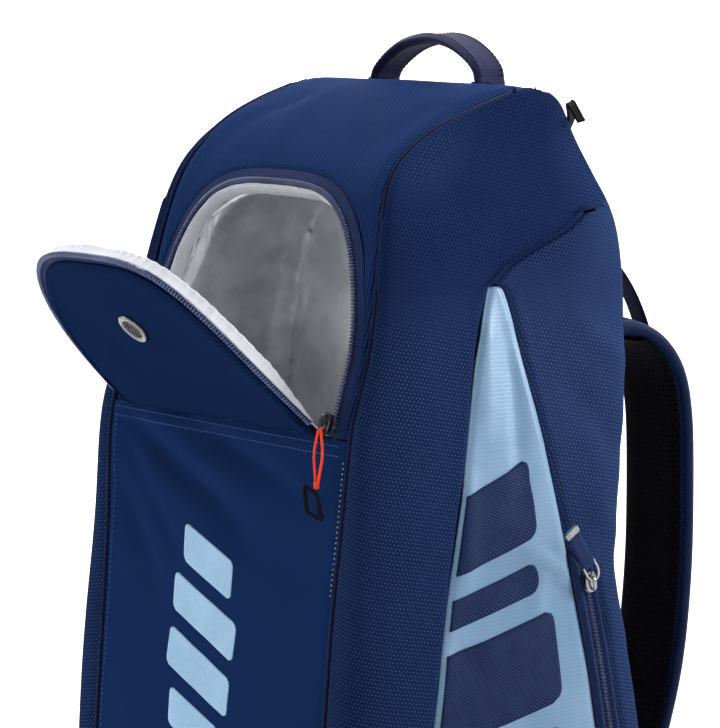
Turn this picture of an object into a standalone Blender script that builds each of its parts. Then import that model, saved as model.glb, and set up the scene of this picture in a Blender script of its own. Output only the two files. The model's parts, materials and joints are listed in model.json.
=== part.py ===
"""A tall racket backpack that stands on its base, modelled panel by panel.

Frame: metres, +Z up, origin under the middle of the base. The shoe flap faces -Y, the
back panel with its shoulder straps faces +Y, and the bag is the same left and right.
The flap is modelled open, as it hangs when it has been unzipped.
"""

import math
from bisect import bisect_left

import bmesh
import bpy
from mathutils import Matrix, Vector

# Driving dimensions -----------------------------------------------------------------
FABRIC = 0.0024          # a padded panel's thickness
TAPE = 0.0012            # a zip tape's thickness
GAP = 0.0005             # clearance between two sewn pieces
BASE_TOP = 0.0060        # the base panel's thickness
PANEL_FOOT = 0.0068      # where the upright panels begin
FOLD_Z = 0.5265          # height of the fold that the shoe flap hinges on
FOLD_Y = -0.1140
FLAP_LEAN = 42.5         # degrees that the open flap leans forward from upright
MOUTH = (0.1315, 0.170)  # half width and height of the shoe opening in the hood
MOUTH_TAPER = 0.12       # how much narrower the opening is at its top
ARCH_POWER = 3.4         # how square the opening's corners are
COIL = 0.0080            # width of one half of a zip's tape and coil
CORNER_POWER = 0.35      # how square the bag's upright corners are
STRAP_X = 0.0925
LIFTER_X = 0.0820         # the load lifters pull on the straps' inner halves
STRAP_WIDTH = 0.064
STRAP_THICK = 0.011
WEBBING = 0.025
MAIN_ZIP_Z = 0.700       # height of the main zip across the back
LADDER_GAP = 0.004       # clearance where the strap's closed loop is opened

# The bag's outline in the YZ plane, up the front, over the top and down the back.
PROFILE = [
    (-0.124, PANEL_FOOT), (-0.136, 0.028), (-0.141, 0.080), (-0.141, 0.160),
    (-0.136, 0.270), (-0.129, 0.363), (-0.122, 0.443), (FOLD_Y, FOLD_Z),
    (-0.094, 0.584), (-0.082, 0.640), (-0.071, 0.682), (-0.056, 0.705),
    (-0.030, 0.724), (-0.003, 0.736), (0.022, 0.7445), (0.044, 0.7505),
    (0.058, 0.7495), (0.073, 0.741), (0.087, 0.722), (0.104, 0.691),
    (0.1165, 0.662), (0.1190, 0.625), (0.1150, 0.580), (0.1085, 0.525),
    (0.1015, 0.470), (0.1010, 0.425), (0.109, 0.383), (0.120, 0.328),
    (0.131, 0.250), (0.137, 0.160), (0.137, 0.080), (0.132, 0.028),
    (0.120, PANEL_FOOT),
]
TOP_SEAM = (0.059, 0.7492)   # where the hood meets the back panel

# At each height: the half width between the corner seams, and how far the side
# stands out beyond them.
SEAM_X = [(PANEL_FOOT, 0.1260), (0.028, 0.1330), (0.080, 0.1360), (0.330, 0.1360),
          (0.420, 0.1370), (0.500, 0.1420), (0.540, 0.1410), (0.584, 0.1360),
          (0.649, 0.1280), (0.694, 0.1190), (0.718, 0.1165), (0.739, 0.1200),
          (0.751, 0.1200)]
SIDE_OUT = [(PANEL_FOOT, 0.0200), (0.028, 0.0290), (0.080, 0.0340), (0.330, 0.0330),
            (0.430, 0.0280), (0.5265, 0.0190), (0.620, 0.0135), (0.700, 0.0105),
            (0.751, 0.0090)]

# Side panel seams: distance back from the middle (Y) at each height (Z).
INSERT_FRONT = [(0.006, -0.096), (0.200, -0.083), (0.354, -0.060), (0.449, -0.044),
                (0.547, -0.0245), (0.593, -0.0115), (0.622, 0.000)]
INSERT_REAR = [(0.006, 0.100), (0.200, 0.094), (0.338, 0.072), (0.432, 0.0535),
               (0.550, 0.0270), (0.612, 0.0143), (0.622, 0.0065)]
SLANT = [(0.622, 0.0030), (0.636, 0.0232), (0.654, 0.0678), (0.664, 0.0840),
         (0.668, 0.0920)]
ZIP_TOP = 0.430              # the side zip's upper end
ZIP_FOOT = 0.200
ZIP_STRIP = 0.0215           # width of the side zip between its two panels

# A shoulder strap's centre line in the YZ plane, from its root down to its end.
STRAP_LINE = [(0.1275, 0.5860), (0.146, 0.584), (0.168, 0.573), (0.185, 0.552),
              (0.193, 0.520), (0.195, 0.470), (0.194, 0.410), (0.188, 0.350),
              (0.178, 0.300), (0.164, 0.250)]

COLOURS = {
    "navy_twill": ((0.012, 0.030, 0.100), 0.75, 0.0),
    "navy_mesh": ((0.020, 0.045, 0.130), 0.80, 0.0),
    "light_blue": ((0.400, 0.620, 0.820), 0.55, 0.0),
    "navy_tape": ((0.012, 0.022, 0.070), 0.60, 0.0),
    "silver_lining": ((0.550, 0.560, 0.580), 0.45, 0.0),
    "white_lining": ((0.800, 0.800, 0.830), 0.70, 0.0),
    "dark_webbing": ((0.018, 0.016, 0.045), 0.70, 0.0),
    "black_mesh": ((0.012, 0.012, 0.018), 0.85, 0.0),
    "base_fabric": ((0.010, 0.014, 0.035), 0.60, 0.0),
    "foam_board": ((0.050, 0.050, 0.060), 0.90, 0.0),
    "black_plastic": ((0.012, 0.013, 0.017), 0.40, 0.0),
    "grey_rubber": ((0.060, 0.065, 0.080), 0.45, 0.0),
    "orange_cord": ((1.000, 0.090, 0.030), 0.50, 0.0),
    "chrome": ((0.700, 0.700, 0.720), 0.15, 1.0),
}


def clear_scene():
    for thing in list(bpy.data.objects):
        bpy.data.objects.remove(thing, do_unlink=True)


def material(name):
    found = bpy.data.materials.get(name)
    if found:
        return found
    colour, roughness, metallic = COLOURS[name]
    made = bpy.data.materials.new(name)
    made.use_nodes = True
    shader = made.node_tree.nodes["Principled BSDF"]
    shader.inputs["Base Color"].default_value = (*colour, 1.0)
    shader.inputs["Roughness"].default_value = roughness
    shader.inputs["Metallic"].default_value = metallic
    return made


# Curves ---------------------------------------------------------------------------
def catmull(points, steps):
    """A smooth line through points, with steps pieces to each span."""
    points = [Vector(p) for p in points]
    ends = [2 * points[0] - points[1], *points, 2 * points[-1] - points[-2]]
    line = []
    for a, b, c, d in zip(ends, ends[1:], ends[2:], ends[3:]):
        for i in range(steps):
            t = i / steps
            line.append(0.5 * (2 * b + (c - a) * t + (2 * a - 5 * b + 4 * c - d) * t * t
                               + (3 * b - a - 3 * c + d) * t ** 3))
    return [*line, points[-1]]


def between(keys, at):
    """The value at one place of a table of (place, value) pairs, rising in place."""
    places = [k[0] for k in keys]
    i = min(max(bisect_left(places, at), 1), len(keys) - 1)
    (p, v), (q, w) = keys[i - 1], keys[i]
    t = min(max((at - p) / (q - p), 0.0), 1.0)
    return v + (w - v) * t


class Outline:
    """The bag's profile, read by the distance s along it."""

    def __init__(self, points):
        self.line = catmull(points, 10)
        self.s = [0.0]
        for a, b in zip(self.line, self.line[1:]):
            self.s.append(self.s[-1] + (b - a).length)
        top = max(range(len(self.line)), key=lambda i: self.line[i].y)
        self.front = [(p.y, p.x) for p in self.line[:top + 1]]
        self.back = [(p.y, p.x) for p in reversed(self.line[top:])]
        self.top = top

    def at(self, s):
        i = min(max(bisect_left(self.s, s), 1), len(self.s) - 1)
        t = (s - self.s[i - 1]) / (self.s[i] - self.s[i - 1])
        return self.line[i - 1].lerp(self.line[i], t)

    def normal(self, s):
        along = (self.at(s + 0.004) - self.at(s - 0.004)).normalized()
        return Vector((-along.y, along.x))

    def front_s(self, z):
        return between([(p.y, s) for p, s in zip(self.line[:self.top + 1], self.s)], z)

    def back_s(self, z):
        pairs = [(p.y, s) for p, s in zip(self.line[self.top:], self.s[self.top:])]
        return between(pairs[::-1], z)


OUTLINE = Outline(PROFILE)
FOLD_S = OUTLINE.front_s(FOLD_Z)
RIM_S = OUTLINE.back_s(TOP_SEAM[1])


def seam_x(z):
    return between(SEAM_X, z)


def shell(x, s, lift=0.0):
    """A point of the front, top or back, lift metres off the surface."""
    p, n = OUTLINE.at(s), OUTLINE.normal(s)
    rounded = 0.0015 * min(abs(x) / seam_x(p.y), 1.05) ** 10
    p = p + n * (lift - rounded)
    return Vector((x, p.x, p.y))


def panel_row(s, columns):
    """Places across a panel from one corner seam to the other."""
    half = seam_x(OUTLINE.at(s).y) - GAP
    return [(x, s) for x in spread(-half, half, columns, True)]


def front_y(z):
    return between(OUTLINE.front, z)


def back_y(z):
    return between(OUTLINE.back, z)


def side_angle(y, z):
    """The angle round a side's squared curve at which it is y from the middle."""
    low, high = front_y(z), back_y(z)
    v = min(max((2 * y - low - high) / (high - low), -1.0), 1.0)
    return math.copysign(math.asin(abs(v) ** (1 / CORNER_POWER)), v)


def side_skin(angle, z):
    """A point of the right side, from its front seam (-90 degrees) to its back one."""
    low, high = front_y(z), back_y(z)
    across = max(math.cos(angle), 0.0) ** CORNER_POWER
    deep = math.copysign(abs(math.sin(angle)) ** CORNER_POWER, angle)
    x = seam_x(z) + 2 * GAP + between(SIDE_OUT, z) * across
    return Vector((x, (low + high) / 2 + deep * (high - low) / 2, z))


def side(angle, z, lift=0.0):
    """The same, lift metres off the surface."""
    limit = math.pi / 2 - 0.02
    a = min(max(angle, -limit), limit)
    along = side_skin(a + 0.02, z) - side_skin(a - 0.02, z)
    up = side_skin(a, z + 0.004) - side_skin(a, z - 0.004)
    return side_skin(angle, z) + along.cross(up).normalized() * lift


def side_at(y, z, lift=0.0):
    return side(side_angle(y, z), z, lift)


def arch(half, height, t):
    """A squared arch that narrows upwards: t runs from 0 at its right foot to 1."""
    a = math.pi * t
    c, s = math.cos(a), math.sin(a)
    up = max(s, 0.0) ** (2 / ARCH_POWER)
    half *= 1 - MOUTH_TAPER * up
    return half * math.copysign(abs(c) ** (2 / ARCH_POWER), c), height * up


# Solids ---------------------------------------------------------------------------
def place(name, bm, colour, smooth=True):
    bmesh.ops.recalc_face_normals(bm, faces=bm.faces)
    mesh = bpy.data.meshes.new(name)
    bm.to_mesh(mesh)
    bm.free()
    if smooth:
        mesh.shade_smooth()
        mesh.set_sharp_from_angle(angle=math.radians(35))
    thing = bpy.data.objects.new(name, mesh)
    thing.data.materials.append(material(colour))
    bpy.context.scene.collection.objects.link(thing)
    return thing


def mirrored(rows, flip):
    if not flip:
        return rows
    return [[Vector((-p.x, p.y, p.z)) for p in row] for row in rows]


def join_rows(bm, rows, closed):
    """Quads between rows of points; closed also joins each row's two ends."""
    rings = [[bm.verts.new(p) for p in row] for row in rows]
    for low, high in zip(rings, rings[1:]):
        count = len(low) if closed else len(low) - 1
        for i in range(count):
            j = (i + 1) % len(low)
            bm.faces.new((low[i], low[j], high[j], high[i]))
    return rings


def sheet(name, outer, inner, colour, closed=False, capped=False):
    """A skin between two matching grids, closed around its rim.

    closed joins each row into a ring; capped also fills the last ring, as a bucket.
    """
    bm = bmesh.new()
    a = join_rows(bm, outer, closed)
    b = join_rows(bm, inner, closed)

    def wall(top, bottom, ring):
        count = len(top) if ring else len(top) - 1
        for i in range(count):
            j = (i + 1) % len(top)
            bm.faces.new((top[i], top[j], bottom[j], bottom[i]))

    wall(a[0], b[0], closed)
    if capped:
        bm.faces.new(a[-1])
        bm.faces.new(b[-1])
    else:
        wall(a[-1], b[-1], closed)
    if not closed:
        wall([r[0] for r in a], [r[0] for r in b], False)
        wall([r[-1] for r in a], [r[-1] for r in b], False)
    return place(name, bm, colour)


def layered(name, grid, surface, lift, thick, colour, flip=False):
    """A sheet on a surface: grid holds (u, v) pairs, its outer face lift off it."""
    outer = [[surface(u, v, lift) for u, v in row] for row in grid]
    inner = [[surface(u, v, lift - thick) for u, v in row] for row in grid]
    return sheet(name, mirrored(outer, flip), mirrored(inner, flip), colour)


def strip(path, half):
    """A grid of pairs half wide each side of a path of (u, v) pairs."""
    rows = []
    for i, (u, v) in enumerate(path):
        (a, b), (c, d) = path[max(i - 1, 0)], path[min(i + 1, len(path) - 1)]
        size = math.hypot(c - a, d - b)
        across = Vector(((d - b) / size, (a - c) / size))
        rows.append([(u - across.x * w, v - across.y * w) for w in (-half, 0.0, half)])
    return rows


def sweep(name, path, across, section, colour, flip=False, loop=False):
    """A section of (sideways, outward) pairs carried along a path of points.

    across is the sideways direction at every point of the path.
    """
    rows = []
    for i, p in enumerate(path):
        if loop:
            along = path[(i + 1) % len(path)] - path[i - 1]
        else:
            along = path[min(i + 1, len(path) - 1)] - path[max(i - 1, 0)]
        sideways = (across - across.project(along)).normalized()
        out = along.normalized().cross(sideways)
        rows.append([p + sideways * u + out * v for u, v in section(i / (len(path) - 1))])
    rows = mirrored(rows, flip)
    bm = bmesh.new()
    rings = join_rows(bm, rows + [rows[0]] if loop else rows, True)
    if loop:
        bmesh.ops.remove_doubles(bm, verts=bm.verts, dist=1e-6)
    else:
        bm.faces.new(rings[0])
        bm.faces.new(rings[-1])
    return place(name, bm, colour)


def flat_section(width, thick, rounding=0.35):
    """A flat oblong with its four corners cut."""
    w, t, c = width / 2, thick / 2, min(width, thick) * rounding
    return [(-w, -t + c), (-w + c, -t), (w - c, -t), (w, -t + c),
            (w, t - c), (w - c, t), (-w + c, t), (-w, t - c)]


def round_section(radius, count=8):
    turn = 2 * math.pi / count
    return [(radius * math.cos(i * turn), radius * math.sin(i * turn))
            for i in range(count)]


def block(name, centre, size, frame, colour, bevel, flip=False):
    """A box with rounded edges; frame holds its three axes as columns."""
    bm = bmesh.new()
    bmesh.ops.create_cube(bm, size=1.0)
    bmesh.ops.scale(bm, vec=size, verts=bm.verts)
    bmesh.ops.bevel(bm, geom=bm.edges, offset=bevel, segments=1, profile=0.7,
                    affect="EDGES")
    bmesh.ops.transform(bm, matrix=Matrix.Translation(centre) @ frame.to_4x4(),
                        verts=bm.verts)
    if flip:
        bmesh.ops.scale(bm, vec=(-1, 1, 1), verts=bm.verts)
    return place(name, bm, colour)


def axes(first, second):
    """A frame whose X is first and whose Y lies towards second."""
    x = Vector(first).normalized()
    z = x.cross(Vector(second)).normalized()
    return Matrix((x, z.cross(x), z)).transposed()


def spread(low, high, count, ease=False):
    """Evenly spread values, or ones that crowd towards both ends."""
    parts = [i / (count - 1) for i in range(count)]
    if ease:
        parts = [(1 - math.cos(math.pi * p)) / 2 for p in parts]
    return [low + (high - low) * p for p in parts]


# The bag's panels -----------------------------------------------------------------
def make_front_panel():
    rows = [panel_row(s, 9) for s in spread(0.0, FOLD_S - GAP, 16)]
    layered("front_panel", rows, shell, 0.0, FABRIC, "navy_twill")


def mouth_point(t, inset=0.0):
    """The shoe opening's edge on the hood, as a place on the shell."""
    x, q = arch(MOUTH[0] - inset, MOUTH[1] - inset, t)
    return x, FOLD_S + GAP + q


def make_hood():
    """The mesh panel that frames the opening and wraps over the bag's top."""
    edge = [panel_row(s, 2)[1] for s in spread(FOLD_S + GAP, RIM_S, 12)]
    corner = edge[-1][0]
    edge += [(x, RIM_S) for x in spread(corner, -corner, 10)[1:-1]]
    edge += [(-x, s) for x, s in reversed(edge[:12])]
    turns = spread(0.0, 0.33, 12) + spread(0.36, 0.64, 8) + spread(0.67, 1.0, 12)
    rows = []
    for share in spread(0.0, 1.0, 8):
        row = []
        for t, (edge_x, edge_s) in zip(turns, edge):
            x, s = mouth_point(t)
            row.append((x + (edge_x - x) * share, s + (edge_s - s) * share))
        rows.append(row)
    layered("hood_panel", rows, shell, 0.0, FABRIC, "navy_mesh")


def make_back_panel():
    rows = [panel_row(s, 9) for s in spread(RIM_S + GAP, OUTLINE.s[-1], 24)]
    layered("back_panel", rows, shell, 0.0, FABRIC, "navy_mesh")


SIDE_ROWS = (spread(PANEL_FOOT, 0.030, 3) + spread(0.080, 0.400, 6)
             + [ZIP_TOP, ZIP_TOP + 0.001] + spread(0.480, 0.612, 4)
             + [0.622, 0.636, 0.654, 0.664, 0.670] + [0.685, 0.702, 0.718, 0.734, 0.745])
SEAM_ANGLE = math.pi / 2 - 0.0005


def side_panel(name, bounds, low, high, columns, colour, flip):
    """A patch of one side between two seams, over a span of heights."""
    rows = []
    for z in SIDE_ROWS:
        if low - 1e-6 <= z <= high + 1e-6:
            a, b = bounds(z)
            rows.append([(angle, z) for angle in spread(a, b, columns)])
    layered(name, rows, side, 0.0, FABRIC, colour, flip)


def side_front_bounds(z):
    if z < 0.621:
        return -SEAM_ANGLE, side_angle(between(INSERT_FRONT, z) - GAP, z)
    if z < 0.669:
        return -SEAM_ANGLE, side_angle(between(SLANT, z) - 0.0015, z)
    return -SEAM_ANGLE, SEAM_ANGLE


def insert_bounds(z):
    return (side_angle(between(INSERT_FRONT, z) + GAP, z),
            side_angle(between(INSERT_REAR, z) - GAP, z))


def zip_bounds(z):
    start = between(INSERT_REAR, z)
    return side_angle(start + GAP, z), side_angle(start + ZIP_STRIP - GAP, z)


def side_rear_bounds(z):
    start = between(INSERT_REAR, z) + GAP
    if z <= ZIP_TOP:
        start += ZIP_STRIP
    if z > 0.621:
        start = between(SLANT, z) + 0.0045
    return side_angle(start, z), SEAM_ANGLE


def make_sides():
    for tag, flip in (("right", False), ("left", True)):
        side_panel(f"side_front_{tag}", side_front_bounds, 0, 0.75, 11, "navy_mesh", flip)
        side_panel(f"side_insert_{tag}", insert_bounds, 0, 0.612, 6, "light_blue", flip)
        side_panel(f"side_rear_{tag}", side_rear_bounds, 0, 0.665, 8, "navy_mesh", flip)
        side_panel(f"side_zip_{tag}", zip_bounds, 0, ZIP_TOP, 4, "navy_tape", flip)


def section(z, share, count=15):
    """The bag's section at its foot, shrunk to a share of itself, at height z."""
    right = [side(a, PANEL_FOOT) for a in spread(-SEAM_ANGLE, SEAM_ANGLE, count)]
    left = [Vector((-p.x, p.y, p.z)) for p in reversed(right)]
    middle = (right[0].y + right[-1].y) / 2
    return [Vector((p.x * share, middle + (p.y - middle) * share, z))
            for p in right + left]


def make_base():
    """A flat fabric-covered base, and the stiff board that lies inside it."""
    for name, low, high, share, colour in (
            ("base_panel", 0.0, BASE_TOP, 0.985, "base_fabric"),
            ("base_board", BASE_TOP + 0.0012, BASE_TOP + 0.0040, 0.900, "foam_board")):
        bm = bmesh.new()
        rings = join_rows(bm, [section(low, share - 0.015), section(low + 0.001, share),
                               section(high, share)], True)
        bm.faces.new(rings[0])
        bm.faces.new(rings[-1])
        place(name, bm, colour)


def make_boards():
    """The plastic board inside the back panel, and the padded racket divider."""
    rows = [[(x, s) for x in spread(-0.112, 0.112, 3)]
            for s in spread(OUTLINE.back_s(0.640), OUTLINE.back_s(0.030), 18)]
    layered("back_board", rows, shell, -FABRIC - 0.0040, 0.0016, "foam_board")

    def divider(x, z, lift):
        return Vector((x, 0.054 + 0.020 * (0.62 - z) + lift, z))

    rows = [[(x, z) for x in spread(-0.126, 0.126, 3)] for z in (0.020, 0.320, 0.600)]
    layered("racket_divider", rows, divider, 0.0, 0.0040, "foam_board")


def make_shoe_liner():
    """The lined pocket that the shoes stand in: a bucket with its mouth at the flap."""
    count, floor_round = 40, 0.050
    arch_count = count - 8

    def mouth_ring(inset, lift):
        ring = [shell(*mouth_point(t, inset), lift) for t in spread(0.0, 1.0, arch_count)]
        return ring + [ring[-1].lerp(ring[0], i / 9) for i in range(1, 9)]

    def box_ring(half, low, high, y, hug):
        """An upright rounded ring; hug keeps it this far behind the front panels."""
        ring = []
        for t in spread(0.0, 1.0, arch_count):
            x, q = arch(half, 1.0, t)
            ring.append((x, low + floor_round + q * (high - low - floor_round)))
        for i in range(1, 9):
            a = math.pi * (1 + i / 9)
            c, s = math.cos(a), math.sin(a)
            ring.append((half * math.copysign(abs(c) ** 0.45, c),
                         low + floor_round * (1 - abs(s) ** 0.45)))
        return [Vector((x, max(y, front_y(z) + hug), z)) for x, z in ring]

    def bucket(skin):
        """The bucket's inner face, or with skin its outer face."""
        return [mouth_ring(0.0115 - skin, -0.0050), mouth_ring(0.0110 - skin, -0.0100),
                box_ring(0.124 + skin, 0.380 - skin, 0.682 + skin, -1.0, 0.0150 - skin),
                box_ring(0.127 + skin, 0.372 - skin, 0.690 + skin, -0.0450, 0.0150),
                box_ring(0.127 + skin, 0.372 - skin, 0.690 + skin, 0.0000, 0.0150),
                box_ring(0.115 + skin, 0.384 - skin, 0.680 + skin, 0.0140 + skin, 0.0150)]

    sheet("shoe_liner", bucket(0.0), bucket(0.0016), "silver_lining",
          closed=True, capped=True)


def make_mouth_zip():
    """The half of the shoe zip that is sewn to the bag, just inside the hood's edge."""
    rows = [[mouth_point(t, inset) for t in spread(0.004, 0.996, 33)]
            for inset in (GAP, COIL / 2, COIL)]
    layered("mouth_zip", rows, shell, -0.0006, TAPE, "navy_tape")


# The shoe flap ----------------------------------------------------------------------
def flap(x, q, lift=0.0):
    """A point of the open flap, q metres up from its fold."""
    lean = math.radians(FLAP_LEAN)
    along = Vector((0, -math.sin(lean), math.cos(lean)))
    out = Vector((0, -math.cos(lean), -math.sin(lean)))
    return Vector((x, FOLD_Y, FOLD_Z)) + along * q + out * lift


def flap_grid(inset, low, count=25):
    """Rows from the flap's foot up to its arch, each as wide as the arch is there."""
    half, height = MOUTH[0] - inset, MOUTH[1] - inset
    rows = []
    for a in spread(0.0, 1.0, count):
        x, q = arch(half, height, 0.5 * a)
        q = max(q, low)
        if not rows or q > rows[-1][0][1] + 1e-4:
            rows.append([(u, q) for u in spread(-max(x, 0.004), max(x, 0.004), 7)])
    return rows


def make_flap():
    layered("flap_shell", flap_grid(0.0100, 0.0080), flap, 0.0035, 0.0020, "navy_twill")
    layered("flap_lining", flap_grid(0.0100, 0.0060), flap, 0.0009, 0.0010,
            "white_lining")

    rows = [[arch(MOUTH[0] - inset, MOUTH[1] - inset, t) for t in spread(0.003, 0.997, 33)]
            for inset in (COIL + 0.0016, COIL + 0.0080)]
    layered("flap_zip", rows, flap, -0.0006, TAPE, "navy_tape")


def make_vent():
    """The mesh vent in the flap, held by a pressed metal ring."""
    centre, radius = flap(0.0, 0.0966, 0.0), 0.0095
    lean = math.radians(FLAP_LEAN)
    out = Vector((0, -math.cos(lean), -math.sin(lean)))
    frame = axes((1, 0, 0), (0, -math.sin(lean), math.cos(lean)))
    path = [centre + frame @ Vector((radius * math.cos(a), radius * math.sin(a), 0))
            + out * 0.0045 for a in spread(0, 2 * math.pi, 21)[:-1]]
    sweep("vent_ring", path, out, lambda _: flat_section(0.0014, 0.0030), "chrome", loop=True)
    bm = bmesh.new()
    inner = radius - 0.0023
    bmesh.ops.create_cone(bm, cap_ends=True, segments=18, radius1=inner, radius2=inner,
                          depth=0.0008)
    spot = Matrix.Translation(centre + out * 0.0043) @ frame.to_4x4()
    bmesh.ops.transform(bm, matrix=spot, verts=bm.verts)
    place("vent_mesh", bm, "black_mesh")


# Zip sliders and pulls --------------------------------------------------------------
def slider(name, where, along, out, colour, flip=False):
    """A zip slider: a rounded body, longest along the zip."""
    block(name, where + out.normalized() * 0.0032, (0.0130, 0.0092, 0.0046),
          axes(along, along.cross(out)), colour, 0.0014, flip)


def make_shoe_pull():
    """The slider at the right foot of the shoe zip, its cord loop and its grip."""
    s = FOLD_S + 0.008
    x = MOUTH[0] - COIL / 2
    seat = shell(x, s)
    up = (shell(x, OUTLINE.front_s(0.620)) - seat).normalized()
    out = Vector((0, -up.z, up.y))
    slider("shoe_zip_slider", seat + out * 0.0052, up, out, "black_plastic")
    pivot = seat + out * 0.0124 - up * 0.0040
    hang = Vector((0, -0.07, -1.0)).normalized()
    drop, half = 0.0380, 0.0036
    sides = []
    for i in range(24):
        a = 2 * math.pi * i / 24
        sides.append(pivot + Vector((half * math.sin(a), 0, 0))
                     + hang * (drop / 2 * (1 - math.cos(a)) + 0.001))
    sweep("shoe_zip_cord", sides, Vector((0, 1, 0)), lambda _: round_section(0.0011, 6),
          "orange_cord", loop=True)
    low = pivot + hang * (drop + 0.0035)
    tall, wide = 0.0240, 0.0130
    corners = [(0, 0), (wide / 2, -tall * 0.30), (wide / 2, -tall), (-wide / 2, -tall * 0.62)]
    ring = []
    for (a, b), (c, d) in zip(corners, corners[1:] + corners[:1]):
        for t in (0.12, 0.88):
            ring.append(low + Vector((a + (c - a) * t, 0, 0)) - hang * (b + (d - b) * t))
    sweep("shoe_zip_grip", ring, Vector((0, 1, 0)), lambda _: flat_section(0.0022, 0.0024),
          "grey_rubber", loop=True)
    return pivot


def make_side_pulls():
    """Chrome sliders on the side zips, each with a webbing pull."""
    top = ZIP_TOP - 0.010
    seat = side_at(between(INSERT_REAR, top) + ZIP_STRIP / 2, top, 0.0018)
    foot = side_at(between(INSERT_REAR, ZIP_FOOT) + ZIP_STRIP / 2, ZIP_FOOT, 0.0018)
    along = (foot - seat).normalized()
    out = Vector((1, 0, 0)) - along * along.x
    for tag, flip in (("right", False), ("left", True)):
        slider(f"side_zip_slider_{tag}", seat, along, out, "chrome", flip)
        start = seat + Vector((0.0085, 0, 0)) - along * 0.004
        lean = Vector((0.20, -0.62, 0.80)).normalized()
        path = [start + lean * d for d in (0.004, 0.020, 0.036, 0.050)]
        sweep(f"side_zip_pull_{tag}", path, along.cross(Vector((1, 0, 0))),
              lambda _: flat_section(0.0085, 0.0022), "dark_webbing", flip)


def back_face(x, z, lift=0.0):
    return shell(x, OUTLINE.back_s(z), lift)


def main_zip_path():
    """Up the back's left edge, round two corners and down its right edge."""
    side_x, top_z, low_z, r = 0.104, MAIN_ZIP_Z, 0.600, 0.024
    path = [(-side_x, z) for z in spread(low_z, top_z - r, 6)]
    path += [(-side_x + r * (1 - math.cos(a)), top_z - r * (1 - math.sin(a)))
             for a in spread(0.3, math.pi / 2, 5)]
    right = [(-x, z) for x, z in path]
    return path + spread_pairs(path[-1], right[-1], 8)[1:-1] + right[::-1]


def spread_pairs(a, b, count):
    return [(a[0] + (b[0] - a[0]) * i / (count - 1), a[1] + (b[1] - a[1]) * i / (count - 1))
            for i in range(count)]


def make_main_zip():
    """The main compartment's zip round the top of the back, its slider and its tab."""
    layered("main_zip", strip(main_zip_path(), 0.0085), back_face, 0.0012 + TAPE, TAPE,
            "navy_tape")
    x = 0.070
    seat = back_face(x, MAIN_ZIP_Z, 0.0030)
    normal = (back_face(x, MAIN_ZIP_Z, 0.01) - back_face(x, MAIN_ZIP_Z)).normalized()
    slider("main_zip_slider", seat, Vector((1, 0, 0)), normal, "black_plastic")
    start = seat + normal * 0.0085 + Vector((0.008, 0, 0))
    peak, tip = Vector((0.121, 0.0895, 0.7450)), Vector((0.138, 0.0875, 0.7340))
    path = catmull([start, start.lerp(peak, 0.5) + normal * 0.004, peak, tip], 3)
    sweep("main_zip_tab", path, normal, lambda t: flat_section(0.0085 - 0.002 * t, 0.0032),
          "grey_rubber")


# Handle, straps and back ------------------------------------------------------------
def make_handle():
    """A padded webbing handle, arched over the middle of the top."""
    y, foot, crown, half = 0.0660, 0.7535, 0.7810, 0.0600
    path = []
    for a in spread(math.pi, 0.0, 17):
        c, s = math.cos(a), math.sin(a)
        path.append(Vector((half * math.copysign(abs(c) ** 0.75, c), y,
                            foot + (crown - foot) * s ** 0.9)))
    sweep("top_handle", path, Vector((0, 1, 0)),
          lambda t: flat_section(0.026 + 0.004 * math.sin(math.pi * t), 0.0055), "dark_webbing")
    for tag, middle in (("right", half), ("left", -half)):
        rows = [[(middle + x, z) for x in spread(-0.0150, 0.0150, 3)]
                for z in (0.7460, 0.7360, 0.7200)]
        layered(f"handle_anchor_{tag}", rows, back_face, 0.0034, 0.0024, "dark_webbing")


def make_back_pad():
    rows = []
    for z in spread(0.540, 0.130, 16):
        half = 0.058
        rows.append([(x, OUTLINE.back_s(z)) for x in spread(-half, half, 5, True)])
    layered("back_pad", rows, shell, 0.0088, 0.0078, "black_mesh")
    rows = [[(x, OUTLINE.back_s(z)) for x in spread(-0.094, 0.094, 7)]
            for z in (0.632, 0.615, 0.600)]
    layered("strap_yoke", rows, shell, 0.0026, 0.0022, "navy_twill")


def strap_path():
    return [Vector((STRAP_X, y, z)) for y, z in catmull(STRAP_LINE, 2)]


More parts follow.
